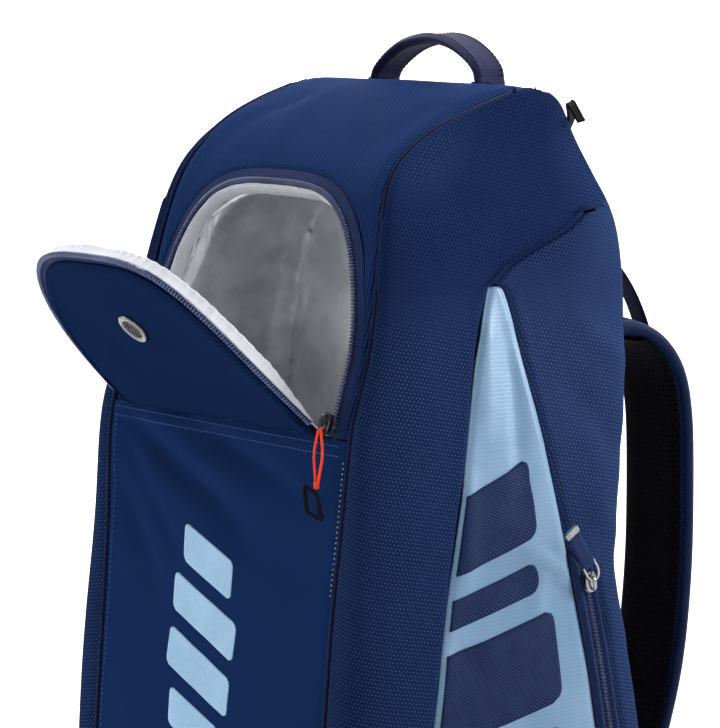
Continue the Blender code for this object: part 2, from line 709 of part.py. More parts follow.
def make_straps():
    across = Vector((1, 0, 0))
    line = strap_path()
    end, before = line[-1], line[-3]
    down = (end - before).normalized()
    inward = Vector((0, down.z, -down.y))
    anchor = back_face(STRAP_X, 0.072, 0.0105)
    for tag, flip in (("right", False), ("left", True)):
        def pad(t):
            width = STRAP_WIDTH * (1.0 - 0.28 * max(0.0, (t - 0.72) / 0.28) ** 2)
            return flat_section(width, STRAP_THICK * (1.0 - 0.25 * t))
        sweep(f"strap_pad_{tag}", line, across, pad, "navy_mesh", flip)

        inner = []
        for i, p in enumerate(line):
            along = line[min(i + 1, len(line) - 1)] - line[max(i - 1, 0)]
            out = along.normalized().cross(across)
            inner.append(p + out * 0.0082)
        sweep(f"strap_lining_{tag}", inner[4:-2], across,
              lambda _: flat_section(0.044, 0.0020), "black_mesh", flip)

        lock = end + down * 0.0130
        block(f"ladder_lock_{tag}", lock, (0.0360, 0.0240, 0.0070),
              axes((1, 0, 0), down), "black_plastic", 0.0016, flip)

        top = lock + down * (0.0120 + LADDER_GAP)
        path = [top.lerp(anchor, t) - inward * 0.004 * math.sin(math.pi * t)
                for t in spread(0.0, 1.0, 7)]
        sweep(f"lower_webbing_{tag}", path, across,
              lambda _: flat_section(WEBBING, 0.0018), "dark_webbing", flip)

        rows = [[(STRAP_X + x, z) for x in spread(-0.020, 0.020, 3)]
                for z in (0.105, 0.080, 0.050)]
        layered(f"webbing_anchor_{tag}", rows, back_face, 0.0036, 0.0026, "navy_twill",
                flip)

        lifter_top = back_face(LIFTER_X, 0.648, 0.0045)
        lifter_end = Vector((LIFTER_X, 0.1640, 0.5900))
        path = [lifter_top.lerp(lifter_end, t) for t in spread(0.0, 1.0, 5)]
        sweep(f"load_lifter_{tag}", path, across,
              lambda _: flat_section(0.0200, 0.0016), "dark_webbing", flip)
        rows = [[(LIFTER_X + x, z) for x in spread(-0.011, 0.011, 3)]
                for z in (0.668, 0.660, 0.652)]
        layered(f"lifter_anchor_{tag}", rows, back_face, 0.0040, 0.0036, "navy_twill",
                flip)


def main():
    clear_scene()
    make_front_panel()
    make_hood()
    make_back_panel()
    make_sides()
    make_base()
    make_boards()
    make_shoe_liner()
    make_mouth_zip()
    make_flap()
    make_vent()
    make_shoe_pull()
    make_side_pulls()
    make_main_zip()
    make_handle()
    make_back_pad()
    make_straps()


main()
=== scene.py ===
"""The looks of the racket backpack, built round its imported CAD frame.

Frame: metres, +Z up. The shoe flap faces -Y, the shoulder straps face +Y. Each fabric
panel follows the same curves as its CAD panel, and adds padding, folds, seams, stitches,
zip coils and cloth that the plain solids leave out.
"""

import json
import math
from bisect import bisect_left

import bmesh
import bpy
import numpy as np
from mathutils import Matrix, Vector, noise


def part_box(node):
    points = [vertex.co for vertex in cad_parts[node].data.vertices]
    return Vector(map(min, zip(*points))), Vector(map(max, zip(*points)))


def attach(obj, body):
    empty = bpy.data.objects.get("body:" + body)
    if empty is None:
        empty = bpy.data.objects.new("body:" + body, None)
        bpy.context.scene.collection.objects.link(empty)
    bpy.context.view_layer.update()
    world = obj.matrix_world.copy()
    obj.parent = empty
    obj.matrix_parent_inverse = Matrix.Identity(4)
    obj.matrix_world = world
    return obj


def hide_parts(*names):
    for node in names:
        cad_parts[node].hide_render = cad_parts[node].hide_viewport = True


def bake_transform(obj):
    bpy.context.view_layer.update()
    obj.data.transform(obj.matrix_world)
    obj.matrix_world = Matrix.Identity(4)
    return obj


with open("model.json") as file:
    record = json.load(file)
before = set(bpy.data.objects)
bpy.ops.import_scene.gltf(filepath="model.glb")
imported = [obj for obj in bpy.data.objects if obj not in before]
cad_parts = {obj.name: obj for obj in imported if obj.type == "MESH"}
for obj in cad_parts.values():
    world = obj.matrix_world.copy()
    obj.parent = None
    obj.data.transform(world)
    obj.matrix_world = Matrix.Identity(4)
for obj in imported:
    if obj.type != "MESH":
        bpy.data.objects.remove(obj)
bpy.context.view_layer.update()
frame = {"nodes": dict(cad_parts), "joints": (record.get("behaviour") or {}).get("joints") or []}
JOINTS = {joint["name"]: joint for joint in frame["joints"]}

# Places taken from the frame ----------------------------------------------------------
FOLD_Y, FOLD_Z = JOINTS["flap_hinge"]["pos_m"][1:]
STRAP_X = JOINTS["strap_swing_right"]["pos_m"][0]
HANDLE_Y = JOINTS["handle_fold"]["pos_m"][1]
FOOT_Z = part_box("front_panel")[0].z
LIFTER_X = sum(corner.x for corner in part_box("load_lifter_right")) / 2

# The bag's shape, as in the CAD -------------------------------------------------------
FLAP_LEAN = math.radians(42.5)
MOUTH = (0.1315, 0.170)      # half width and height of the shoe opening
MOUTH_TAPER = 0.12
ARCH_POWER = 3.4
GAP = 0.0005
CORNER_POWER = 0.35
PADDING = 0.0022             # thickness of a padded panel
PROFILE = [
    (-0.124, FOOT_Z), (-0.136, 0.028), (-0.141, 0.080), (-0.141, 0.160),
    (-0.136, 0.270), (-0.129, 0.363), (-0.122, 0.443), (FOLD_Y, FOLD_Z),
    (-0.094, 0.584), (-0.082, 0.640), (-0.071, 0.682), (-0.056, 0.705),
    (-0.030, 0.724), (-0.003, 0.736), (0.022, 0.7445), (0.044, 0.7505),
    (0.058, 0.7495), (0.073, 0.741), (0.087, 0.722), (0.104, 0.691),
    (0.1165, 0.662), (0.1190, 0.625), (0.1150, 0.580), (0.1085, 0.525),
    (0.1015, 0.470), (0.1010, 0.425), (0.109, 0.383), (0.120, 0.328),
    (0.131, 0.250), (0.137, 0.160), (0.137, 0.080), (0.132, 0.028),
    (0.120, FOOT_Z),
]
TOP_SEAM_Z = 0.7492
SEAM_X = [(FOOT_Z, 0.1260), (0.028, 0.1330), (0.080, 0.1360), (0.330, 0.1360),
          (0.420, 0.1370), (0.500, 0.1420), (0.540, 0.1410), (0.584, 0.1360),
          (0.649, 0.1280), (0.694, 0.1190), (0.718, 0.1165), (0.739, 0.1200),
          (0.751, 0.1200)]
SIDE_OUT = [(FOOT_Z, 0.0200), (0.028, 0.0290), (0.080, 0.0340), (0.330, 0.0330),
            (0.430, 0.0280), (0.5265, 0.0190), (0.620, 0.0135), (0.700, 0.0105),
            (0.751, 0.0090)]
INSERT_FRONT = [(0.006, -0.096), (0.200, -0.083), (0.354, -0.060), (0.449, -0.044),
                (0.547, -0.0245), (0.593, -0.0115), (0.622, 0.000)]
INSERT_REAR = [(0.006, 0.100), (0.200, 0.094), (0.338, 0.072), (0.432, 0.0535),
               (0.550, 0.0270), (0.612, 0.0143), (0.622, 0.0065)]
SLANT = [(0.622, 0.0030), (0.636, 0.0232), (0.654, 0.0678), (0.664, 0.0840),
         (0.668, 0.0920)]
ZIP_TOP = 0.430
ZIP_STRIP = 0.0215
STRAP_LINE = [(0.1275, 0.5860), (0.146, 0.584), (0.168, 0.573), (0.185, 0.552),
              (0.193, 0.520), (0.195, 0.470), (0.194, 0.410), (0.188, 0.350),
              (0.178, 0.300), (0.164, 0.250)]
SIDES = (("right", 1), ("left", -1))

# Cloth details ------------------------------------------------------------------------
TOOTH_PITCH = 0.0023
STITCH = (0.0024, 0.0014)    # length of a stitch, and the space to the next
THREAD = 0.00036             # radius of a sewing thread
COIL_PITCH = 0.00125         # from loop to loop of a closed zip
FRONT, BACK, RIGHT = (0, -1, 0), (0, 1, 0), (1, 0, 0)    # ways off the bag's faces


# Curves ---------------------------------------------------------------------------
def catmull(points, steps):
    """A smooth line through points, with steps pieces to each span."""
    points = [Vector(p) for p in points]
    ends = [2 * points[0] - points[1], *points, 2 * points[-1] - points[-2]]
    line = []
    for a, b, c, d in zip(ends, ends[1:], ends[2:], ends[3:]):
        for i in range(steps):
            t = i / steps
            line.append(0.5 * (2 * b + (c - a) * t + (2 * a - 5 * b + 4 * c - d) * t * t
                               + (3 * b - a - 3 * c + d) * t ** 3))
    return [*line, points[-1]]


class Curve:
    """A value that changes smoothly from key to key; each key is (place, value)."""

    def __init__(self, keys, steps=8):
        line = catmull(keys, steps) if steps else keys
        self.places = [p[0] for p in line]
        self.values = [p[1] for p in line]

    def __call__(self, at):
        places, values = self.places, self.values
        i = min(max(bisect_left(places, at), 1), len(places) - 1)
        t = min(max((at - places[i - 1]) / (places[i] - places[i - 1]), 0.0), 1.0)
        return values[i - 1] + (values[i] - values[i - 1]) * t


class Outline:
    """The bag's profile, read by the distance s along it or by its height."""

    def __init__(self, points):
        line = catmull(points, 12)
        lengths = [0.0]
        for a, b in zip(line, line[1:]):
            lengths.append(lengths[-1] + (b - a).length)
        top = max(range(len(line)), key=lambda i: line[i].y)
        self.length = lengths[-1]
        self.y = Curve([(s, p.x) for s, p in zip(lengths, line)], 0)
        self.z = Curve([(s, p.y) for s, p in zip(lengths, line)], 0)
        self.front_y = Curve([(p.y, p.x) for p in line[:top + 1]], 0)
        self.back_y = Curve([(p.y, p.x) for p in reversed(line[top:])], 0)
        self.front_s = Curve([(p.y, s) for p, s in zip(line[:top + 1], lengths)], 0)
        pairs = [(p.y, s) for p, s in zip(line[top:], lengths[top:])]
        self.back_s = Curve(pairs[::-1], 0)

    def normal(self, s):
        step = 0.004
        along = Vector((self.y(s + step) - self.y(s - step),
                        self.z(s + step) - self.z(s - step))).normalized()
        return Vector((-along.y, along.x))


OUTLINE = Outline(PROFILE)
FOLD_S = OUTLINE.front_s(FOLD_Z)
RIM_S = OUTLINE.back_s(TOP_SEAM_Z)
seam_x = Curve(SEAM_X)
side_out = Curve(SIDE_OUT)
insert_front, insert_rear, slant = Curve(INSERT_FRONT), Curve(INSERT_REAR), Curve(SLANT)


def spread(low, high, count):
    return [low + (high - low) * i / (count - 1) for i in range(count)]


def shell(x, s, lift=0.0):
    """A point of the front, top or back, lift metres off the surface."""
    y, z, n = OUTLINE.y(s), OUTLINE.z(s), OUTLINE.normal(s)
    lift -= 0.0015 * min(abs(x) / seam_x(z), 1.05) ** 10
    return Vector((x, y + n.x * lift, z + n.y * lift))


def back_face(x, z, lift=0.0):
    return shell(x, OUTLINE.back_s(z), lift)


def side_angle(y, z):
    """The angle round a side's squared curve at which it is y from the middle."""
    low, high = OUTLINE.front_y(z), OUTLINE.back_y(z)
    v = min(max((2 * y - low - high) / (high - low), -1.0), 1.0)
    return math.copysign(math.asin(abs(v) ** (1 / CORNER_POWER)), v)


def side(angle, z):
    """A point of the right side, from its front seam (-90 degrees) to its back one."""
    low, high = OUTLINE.front_y(z), OUTLINE.back_y(z)
    across = max(math.cos(angle), 0.0) ** CORNER_POWER
    deep = math.copysign(abs(math.sin(angle)) ** CORNER_POWER, angle)
    x = seam_x(z) + 2 * GAP + side_out(z) * across
    return Vector((x, (low + high) / 2 + deep * (high - low) / 2, z))


def arch(half, height, t):
    """A squared arch that narrows upwards: t runs from 0 at its right foot to 1."""
    c, s = math.cos(math.pi * t), math.sin(math.pi * t)
    up = max(s, 0.0) ** (2 / ARCH_POWER)
    half *= 1 - MOUTH_TAPER * up
    return half * math.copysign(abs(c) ** (2 / ARCH_POWER), c), height * up


def mouth_point(t, inset=0.0):
    x, q = arch(MOUTH[0] - inset, MOUTH[1] - inset, t)
    return x, FOLD_S + GAP + q


FLAP_UP = Vector((0, -math.sin(FLAP_LEAN), math.cos(FLAP_LEAN)))
FLAP_OUT = Vector((0, -math.cos(FLAP_LEAN), -math.sin(FLAP_LEAN)))


def flap(x, q, lift):
    """A point of the open flap, q metres up from its fold."""
    return Vector((x, FOLD_Y, FOLD_Z)) + FLAP_UP * q + FLAP_OUT * lift


# Grids of points ------------------------------------------------------------------
def outward(points):
    """The direction off the surface at each point of a grid."""
    n = np.cross(np.gradient(points, axis=1), np.gradient(points, axis=0))
    return n / np.maximum(np.linalg.norm(n, axis=2, keepdims=True), 1e-12)


def reach(points):
    """Each point's distance from the grid's left, right, first and last edges."""
    across = np.linalg.norm(np.diff(points, axis=1), axis=2)
    along = np.linalg.norm(np.diff(points, axis=0), axis=2)
    left = np.pad(np.cumsum(across, axis=1), ((0, 0), (1, 0)))
    first = np.pad(np.cumsum(along, axis=0), ((1, 0), (0, 0)))
    return left, left[:, -1:] - left, first, first[-1:] - first


def waves(points, scale, seed):
    """Smooth noise from -1 to 1 at each point; scale stretches it along X, Y and Z."""
    flat = points.reshape(-1, 3) * np.array(scale) + seed
    values = [noise.noise(Vector(p)) for p in flat]
    return np.array(values).reshape(points.shape[:2])


def dip(distance, depth, width):
    """How far cloth sinks towards a seam that is distance away."""
    return -depth * np.exp(-(distance / width) ** 2)


def crease(points, start, end, width):
    """A soft ridge, 1 high, along the line from start to end and fading at both."""
    start, end = np.array(start), np.array(end)
    line = end - start
    size = np.linalg.norm(line)
    offset = points - start
    t = offset @ line / size ** 2
    near = np.linalg.norm(offset - np.clip(t, 0, 1)[..., None] * line, axis=2)
    fade = np.clip(np.minimum(t, 1 - t) * 3 + 0.25, 0.0, 1.0)
    return np.exp(-(near / width) ** 2) * fade


def creased(lift, points, place, table):
    """The lift with a table of creases added: each is (start, end, height, width)."""
    for start, end, height, width in table:
        lift = lift + height * crease(points, place(*start), place(*end), width)
    return lift


def lifted(points, amount):
    return points + outward(points) * np.asarray(amount)[..., None]


def off_face(points, out):
    """The direction off the surface at each point of a grid, on the side that out is."""
    n = outward(points)
    return n if np.sum(n * np.array(out)) > 0 else -n


def raised(points, amount, out):
    """A grid moved by amount off its surface, on the side that out is."""
    return points + off_face(points, out) * np.asarray(amount)[..., None]


def blend_grid(points, row, column):
    """The point between a grid's points at a row and a column that needn't be whole."""
    i, j = min(int(row), points.shape[0] - 2), min(int(column), points.shape[1] - 2)
    a, b = row - i, column - j
    return ((points[i, j] * (1 - b) + points[i, j + 1] * b) * (1 - a)
            + (points[i + 1, j] * (1 - b) + points[i + 1, j + 1] * b) * a)


def as_grid(rows, surface):
    return np.array([[surface(u, v) for u, v in row] for row in rows], float)


# Mesh makers ----------------------------------------------------------------------
def put(name, mesh, look):
    """Puts a finished mesh in the scene, with its look."""
    mesh.materials.append(look)
    thing = bpy.data.objects.new(name, mesh)
    bpy.context.scene.collection.objects.link(thing)
    return thing


def weld(mesh, distance):
    """Joins a mesh's doubled points, and turns its faces outwards."""
    bm = bmesh.new()
    bm.from_mesh(mesh)
    bmesh.ops.remove_doubles(bm, verts=bm.verts, dist=distance)
    bmesh.ops.recalc_face_normals(bm, faces=bm.faces)
    bm.to_mesh(mesh)
    bm.free()


def add_piece(name, verts, faces, look, uv=None):
    mesh = bpy.data.meshes.new(name)
    mesh.from_pydata([tuple(v) for v in verts], [], faces)
    if uv is not None:
        layer = mesh.uv_layers.new(name="cloth")
        order = np.empty(len(mesh.loops), np.int32)
        mesh.loops.foreach_get("vertex_index", order)
        layer.data.foreach_set("uv", np.asarray(uv, np.float32)[order].ravel())
    mesh.shade_smooth()
    return put(name, mesh, look)


def grid_faces(rows, columns, ring=False):
    faces = []
    for i in range(rows - 1):
        for j in range(columns if ring else columns - 1):
            k = (j + 1) % columns
            faces.append((i * columns + j, i * columns + k,
                          (i + 1) * columns + k, (i + 1) * columns + j))
    return faces


def cloth(name, points, look, uv=None, thick=PADDING, ring=False, away=(0, 0, 0.4)):
    """A sheet with thickness through a grid of points, its face away from a point."""
    rows, columns = points.shape[:2]
    if uv is None:
        left, _, first, _ = reach(points)
        uv = np.stack([left, first], axis=2)
    facing = np.sum(outward(points) * (points - np.array(away)))
    if facing < 0:
        points, uv = points[:, ::-1], uv[:, ::-1]
    thing = add_piece(name, points.reshape(-1, 3), grid_faces(rows, columns, ring), look,
                      uv.reshape(-1, 2))
    solid = thing.modifiers.new("thickness", "SOLIDIFY")
    solid.thickness = thick
    solid.offset = -1.0
    return thing


def dress(thing, body, slot, *nodes):
    """Puts a finished piece on its body and hides the nodes it stands for."""
    if nodes:
        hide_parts(*nodes)
    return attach(thing, body)


def resample(path, step):
    """Points every step along a path, each with the path's direction there."""
    path = np.asarray(path, float)
    gaps = np.linalg.norm(np.diff(path, axis=0), axis=1)
    at = np.concatenate([[0.0], np.cumsum(gaps)])
    count = max(int(at[-1] / step), 2)
    places = (np.arange(count) + 0.5) * at[-1] / count
    spots = np.stack([np.interp(places, at, path[:, k]) for k in range(3)], axis=1)
    ways = np.gradient(spots, axis=0)
    return spots, ways / np.linalg.norm(ways, axis=1, keepdims=True)


def unit(vectors):
    return vectors / np.maximum(np.linalg.norm(vectors, axis=-1, keepdims=True), 1e-12)


def spaced(ways, count):
    """count directions, evenly spaced along a row of directions."""
    ways = np.asarray(ways, float)
    places, index = np.linspace(0, len(ways) - 1, count), np.arange(len(ways))
    return unit(np.stack([np.interp(places, index, ways[:, k]) for k in range(3)], axis=1))


def beads(name, spots, ways, outs, length, radii, look, arc):
    """Small rounded bars: one at each spot, lying along its way, arched off the surface."""
    ring = 6
    shares = (-0.5, -0.36, 0.0, 0.36, 0.5)
    swell = (0.35, 0.95, 1.0, 0.95, 0.35)
    turn = np.arange(ring) * 2 * math.pi / ring
    sides = unit(np.cross(ways, outs))
    verts, faces = [], []
    for spot, way, out, across in zip(spots, ways, outs, sides):
        start = len(verts)
        for share, size in zip(shares, swell):
            centre = spot + way * share * length + out * arc * (0.25 - share * share) * 4
            for a in turn:
                verts.append(centre + (across * math.cos(a) * radii[0]
                                       + out * math.sin(a) * radii[1]) * size)
        for i in range(len(shares) - 1):
            for j in range(ring):
                k = (j + 1) % ring
                low = start + i * ring
                faces.append((low + j, low + k, low + ring + k, low + ring + j))
        faces.append(tuple(start + j for j in reversed(range(ring))))
        faces.append(tuple(start + (len(shares) - 1) * ring + j for j in range(ring)))
    return add_piece(name, verts, faces, look)


def stitch_row(name, path, outs, look, lift=0.0002, size=STITCH):
    """Stitches along a path; outs are the directions off the cloth at its points."""
    spots, ways = resample(path, sum(size))
    outs = spaced(outs, len(spots))
    return beads(name, spots + outs * lift, ways, outs, size[0], (THREAD, THREAD), look,
                 arc=0.0002)


def strip_rows(path, across, section):
    """Rows of points: a section of (sideways, outward) pairs carried along a path."""
    path = [Vector(p) for p in path]
    rows = []
    for i, p in enumerate(path):
        along = (path[min(i + 1, len(path) - 1)] - path[max(i - 1, 0)]).normalized()
        sideways = (across - across.project(along)).normalized()
        out = along.cross(sideways)
        share = i / (len(path) - 1)
        rows.append([p + sideways * u + out * v for u, v in section(share)])
    return rows


def sweep(name, path, across, section, look, loop=False):
    """A closed section carried along a path, with its UVs in metres."""
    rows = strip_rows(path, across, section)
    if loop:
        rows.append(rows[0])
    count = len(rows[0])
    points = np.array(rows, float)
    closed = np.concatenate([points, points[:, :1]], axis=1)
    left, _, first, _ = reach(closed)
    uv = np.stack([left, first], axis=2)
    verts = closed.reshape(-1, 3)
    faces = grid_faces(len(rows), count + 1)
    if not loop:
        faces.append(tuple(reversed(range(count))))
        base = (len(rows) - 1) * (count + 1)
        faces.append(tuple(base + j for j in range(count)))
    thing = add_piece(name, verts, faces, look, uv.reshape(-1, 2))
    weld(thing.data, 1e-6)
    thing.data.set_sharp_from_angle(angle=math.radians(50))
    return thing


def band(width, thick, edge=0.0):
    """The section of a webbing: flat, with rounded sides; edge thickens both of them."""
    half, count, outline = width / 2, 9, []
    for sign in (1, -1):
        for i in range(count):
            u = -half + width * i / (count - 1)
            share = abs(u) / half
            rounded = math.sqrt(max(1 - max(share - 0.86, 0) ** 2 / 0.14 ** 2, 0.06))
            swell = edge * math.exp(-((share - 0.8) / 0.12) ** 2)
            outline.append((u * sign, -sign * (thick / 2 * rounded + swell)))
    return outline


def disc(radius, count=10, squash=1.0):
    turn = 2 * math.pi / count
    return [(radius * math.cos(i * turn), radius * squash * math.sin(i * turn))
            for i in range(count)]


# Materials ------------------------------------------------------------------------
class Look:
    """A Principled material that is built up node by node."""

    def __init__(self, name, colour, roughness, **finish):
        self.material = bpy.data.materials.new(name)
        self.material.use_nodes = True
        self.nodes = self.material.node_tree.nodes
        self.links = self.material.node_tree.links
        self.shader = self.nodes["Principled BSDF"]
        self.set("Base Color", (*colour, 1.0))
        self.set("Roughness", roughness)
        for socket, value in finish.items():
            self.set(socket.replace("_", " ").title().replace("Ior", "IOR"), value)

    def set(self, socket, value):
        self.feed(self.shader.inputs[socket], value)

    def feed(self, socket, value):
        if isinstance(value, bpy.types.NodeSocket):
            self.links.new(value, socket)
        else:
            socket.default_value = value

    def add(self, kind, *values, output=0, **settings):
        node = self.nodes.new(kind)
        for key, value in settings.items():
            setattr(node, key, value)
        for socket, value in zip(node.inputs, values):
            if value is not None:
                self.feed(socket, value)
        return node.outputs[output]

    def math(self, operation, a, b=0.0):
        return self.add("ShaderNodeMath", a, b, operation=operation)

    def step(self, value, low, high, start=0.0, end=1.0):
        """start where value is below low, end where it is above high, smooth between."""
        return self.add("ShaderNodeMapRange", value, low, high, start, end,
                        interpolation_type="SMOOTHSTEP")

    def mix(self, factor, a, b):
        node = self.nodes.new("ShaderNodeMix")
        node.data_type = "RGBA"
        self.feed(node.inputs["Factor"], factor)
        self.feed(node.inputs["A"], a if isinstance(a, bpy.types.NodeSocket) else (*a, 1))
        self.feed(node.inputs["B"], b if isinstance(b, bpy.types.NodeSocket) else (*b, 1))
        return node.outputs["Result"]

    def weigh(self, a, b, share):
        """A mixture of two values, with this share of the first."""
        return self.math("ADD", self.math("MULTIPLY", a, share),
                         self.math("MULTIPLY", b, 1 - share))

    def slanted(self, value, other, slope):
        """A value that also grows with another one, by slope."""
        return self.math("ADD", value, self.math("MULTIPLY", other, slope))

    def tint(self, tone, low, dark, light):
        """Colours the surface, from dark to light as tone goes from low to 1 - low."""
        self.set("Base Color", self.mix(self.step(tone, low, 1 - low), dark, light))

    def noise(self, scale, detail):
        node = self.nodes.new("ShaderNodeTexNoise")
        self.links.new(self.add("ShaderNodeTexCoord", output=3), node.inputs["Vector"])
        node.inputs["Scale"].default_value = scale
        node.inputs["Detail"].default_value = detail
        return node.outputs["Fac"]

    def uv(self):
        """The cloth's own coordinates, in metres across and along it."""
        split = self.nodes.new("ShaderNodeSeparateXYZ")
        self.links.new(self.add("ShaderNodeTexCoord", output=2), split.inputs[0])
        return split.outputs["X"], split.outputs["Y"]

    def ribs(self, value, pitch):
        """A wave from 0 to 1 that repeats every pitch metres of value."""
        turn = self.math("MULTIPLY", value, 2 * math.pi / pitch)
        return self.step(self.math("SINE", turn), -1.0, 1.0)

    def lattice(self, u, v, pitch):
        """Distance to the nearest point of a triangular lattice, in parts of its pitch."""
        across, along = pitch, pitch * math.sqrt(3)
        spans = []
        for shift in (0.0, 0.5):
            parts = []
            for value, size, stretch in ((u, across, 1.0), (v, along, math.sqrt(3))):
                cell = self.math("ADD", self.math("DIVIDE", value, size), shift)
                centred = self.math("SUBTRACT", self.math("FRACT", cell), 0.5)
                parts.append(self.math("POWER", self.math("MULTIPLY", centred, stretch), 2.0))
            spans.append(self.math("SQRT", self.math("ADD", *parts)))
        return self.math("MINIMUM", *spans)

    def bump(self, height, distance, strength):
        socket = self.shader.inputs["Normal"]
        node = self.nodes.new("ShaderNodeBump")
        if socket.links:
            self.links.new(socket.links[0].from_socket, node.inputs["Normal"])
        self.links.new(height, node.inputs["Height"])
        node.inputs["Distance"].default_value = distance
        node.inputs["Strength"].default_value = strength
        self.links.new(node.outputs["Normal"], socket)


def twill(name, dark, light):
    """Smooth fine twill: faint diagonal ribs, speckled yarn and slow patches."""
    look = Look(name, light, 0.72, sheen_weight=0.3, sheen_roughness=0.4,
                sheen_tint=(*light, 1.0), specular_ior_level=0.0)
    u, v = look.uv()
    weave = look.weigh(look.ribs(look.slanted(u, v, 0.6), 0.0012), look.noise(1500.0, 1.0), 0.55)
    look.tint(look.weigh(weave, look.noise(9.0, 2.0), 0.75), 0.3, dark, light)
    look.bump(weave, 0.00030, 0.8)
    return look.material


def dotted_mesh(name, hole, thread, speck, turn, stripe=0.0, speck_below=0.0):
    """Knitted mesh: a triangular lattice of holes; some hold a small light speck."""
    pitch = 0.0029
    look = Look(name, thread, 0.70, sheen_weight=0.3, sheen_roughness=0.4,
                sheen_tint=(*thread, 1.0), specular_ior_level=0.005)
    u, v = look.uv()
    c, s = math.cos(turn), math.sin(turn)
    across = look.math("SUBTRACT", look.math("MULTIPLY", u, c), look.math("MULTIPLY", v, s))
    along = look.math("ADD", look.math("MULTIPLY", u, s), look.math("MULTIPLY", v, c))
    span = look.lattice(across, along, pitch)
    body = look.step(span, 0.20, 0.38)
    speckled = look.math("MAXIMUM", look.step(look.noise(7.0, 1.0), 0.44, 0.60),
                         look.step(v, speck_below - 0.06, speck_below, 1.0, 0.0))
    dot = look.math("MULTIPLY", look.step(span, 0.17, 0.08), speckled)
    knit = look.ribs(across if stripe else along, pitch / 3)
    width = pitch * math.sqrt(3) / 2
    columns = look.ribs(look.math("SUBTRACT", along, width / 4), width)
    tone = look.weigh(look.weigh(knit, look.noise(8.0, 2.0), 0.25), columns, 1 - stripe)
    shaded = [part * (0.62 - 0.25 * stripe) for part in thread]
    knitted = look.mix(body, hole, look.mix(look.step(tone, 0.2, 0.8), shaded, thread))
    look.set("Base Color", look.mix(dot, knitted, speck))
    look.bump(body, 0.00040, 0.7)
    look.bump(knit, 0.00010, 0.4)
    return look.material


def insert_cloth():
    """Sheer light-blue cloth with a fine level weave and a soft lustre."""
    look = Look("light blue insert", (0.42, 0.62, 0.80), 0.45, sheen_weight=0.05,
                sheen_roughness=0.3, specular_ior_level=0.30)
    u, v = look.uv()
    wobble = look.math("MULTIPLY", look.noise(240.0, 1.0), 0.0014)
    picks = look.ribs(look.math("ADD", v, wobble), 0.0026)
    weave = look.weigh(picks, look.ribs(look.slanted(u, v, 0.3), 0.0019), 0.7)
    look.tint(look.weigh(weave, look.noise(11.0, 2.0), 0.09), 0.2, (0.092, 0.178, 0.290),
              (0.165, 0.270, 0.395))
    look.bump(weave, 0.00012, 0.5)
    return look.material


def ribbed(name, dark, light, pitch, roughness=0.65, slope=0.0, depth=0.0003):
    """Woven tape: ribs across it, with finer yarn along."""
    look = Look(name, light, roughness, specular_ior_level=0.08)
    u, v = look.uv()
    weave = look.weigh(look.ribs(look.slanted(v, u, slope), pitch), look.ribs(u, pitch * 0.7), 0.7)
    look.tint(look.weigh(weave, look.noise(60.0, 3.0), 0.6), 0.2, dark, light)
    look.bump(weave, depth, 0.8)
    return look.material


def foil():
    """The compartment's crinkled silver coating."""
    look = Look("silver foil lining", (0.60, 0.61, 0.63), 0.40, metallic=0.35)
    creases = look.noise(38.0, 3.0)
    fine = look.noise(320.0, 3.0)
    # The crease valleys are painted greyer than the ridges: painted shade in the creases, over the
    # foil's silver.
    look.tint(creases, 0.35, (0.50, 0.51, 0.54), (0.64, 0.65, 0.68))
    look.set("Roughness", look.step(fine, 0.3, 0.7, 0.34, 0.52))
    look.bump(creases, 0.0012, 0.7)
    look.bump(fine, 0.0002, 0.5)
    return look.material


def coated(name, dark, light, roughness=0.62, grain=420.0, **finish):
    """A plain coated or moulded surface with a fine grain and slow patches."""
    look = Look(name, light, roughness, **finish)
    fine = look.noise(grain, 3.0)
    look.tint(look.weigh(fine, look.noise(30.0, 2.0), 0.4), 0.3, dark, light)
    look.set("Roughness", look.step(fine, 0.3, 0.7, roughness - 0.06, roughness + 0.06))
    look.bump(fine, 0.00012, 0.5)
    return look.material


def spacer_mesh():
    """Thick breathable mesh: an open lattice of soft holes."""
    look = Look("black spacer mesh", (0.010, 0.010, 0.014), 0.85, specular_ior_level=0.05)
    u, v = look.uv()
    span = look.lattice(u, v, 0.0042)
    body = look.step(span, 0.22, 0.44)
    knit = look.ribs(v, 0.0010)
    look.set("Base Color", look.mix(body, (0.0015, 0.0015, 0.0030),
                                    look.mix(knit, (0.0030, 0.0030, 0.0060),
                                             (0.0065, 0.0065, 0.0110))))
    look.bump(body, 0.0009, 0.9)
    look.bump(knit, 0.00012, 0.4)
    return look.material


def metal(name, colour, roughness, brushed):
    look = Look(name, colour, roughness, metallic=1.0)
    scratches = look.noise(brushed, 4.0)
    look.set("Roughness", look.step(scratches, 0.3, 0.7, roughness * 0.7, roughness * 1.4))
    look.set("Base Color", look.mix(scratches, [c * 0.82 for c in colour], colour))
    look.bump(scratches, 0.00004, 0.4)
    return look.material


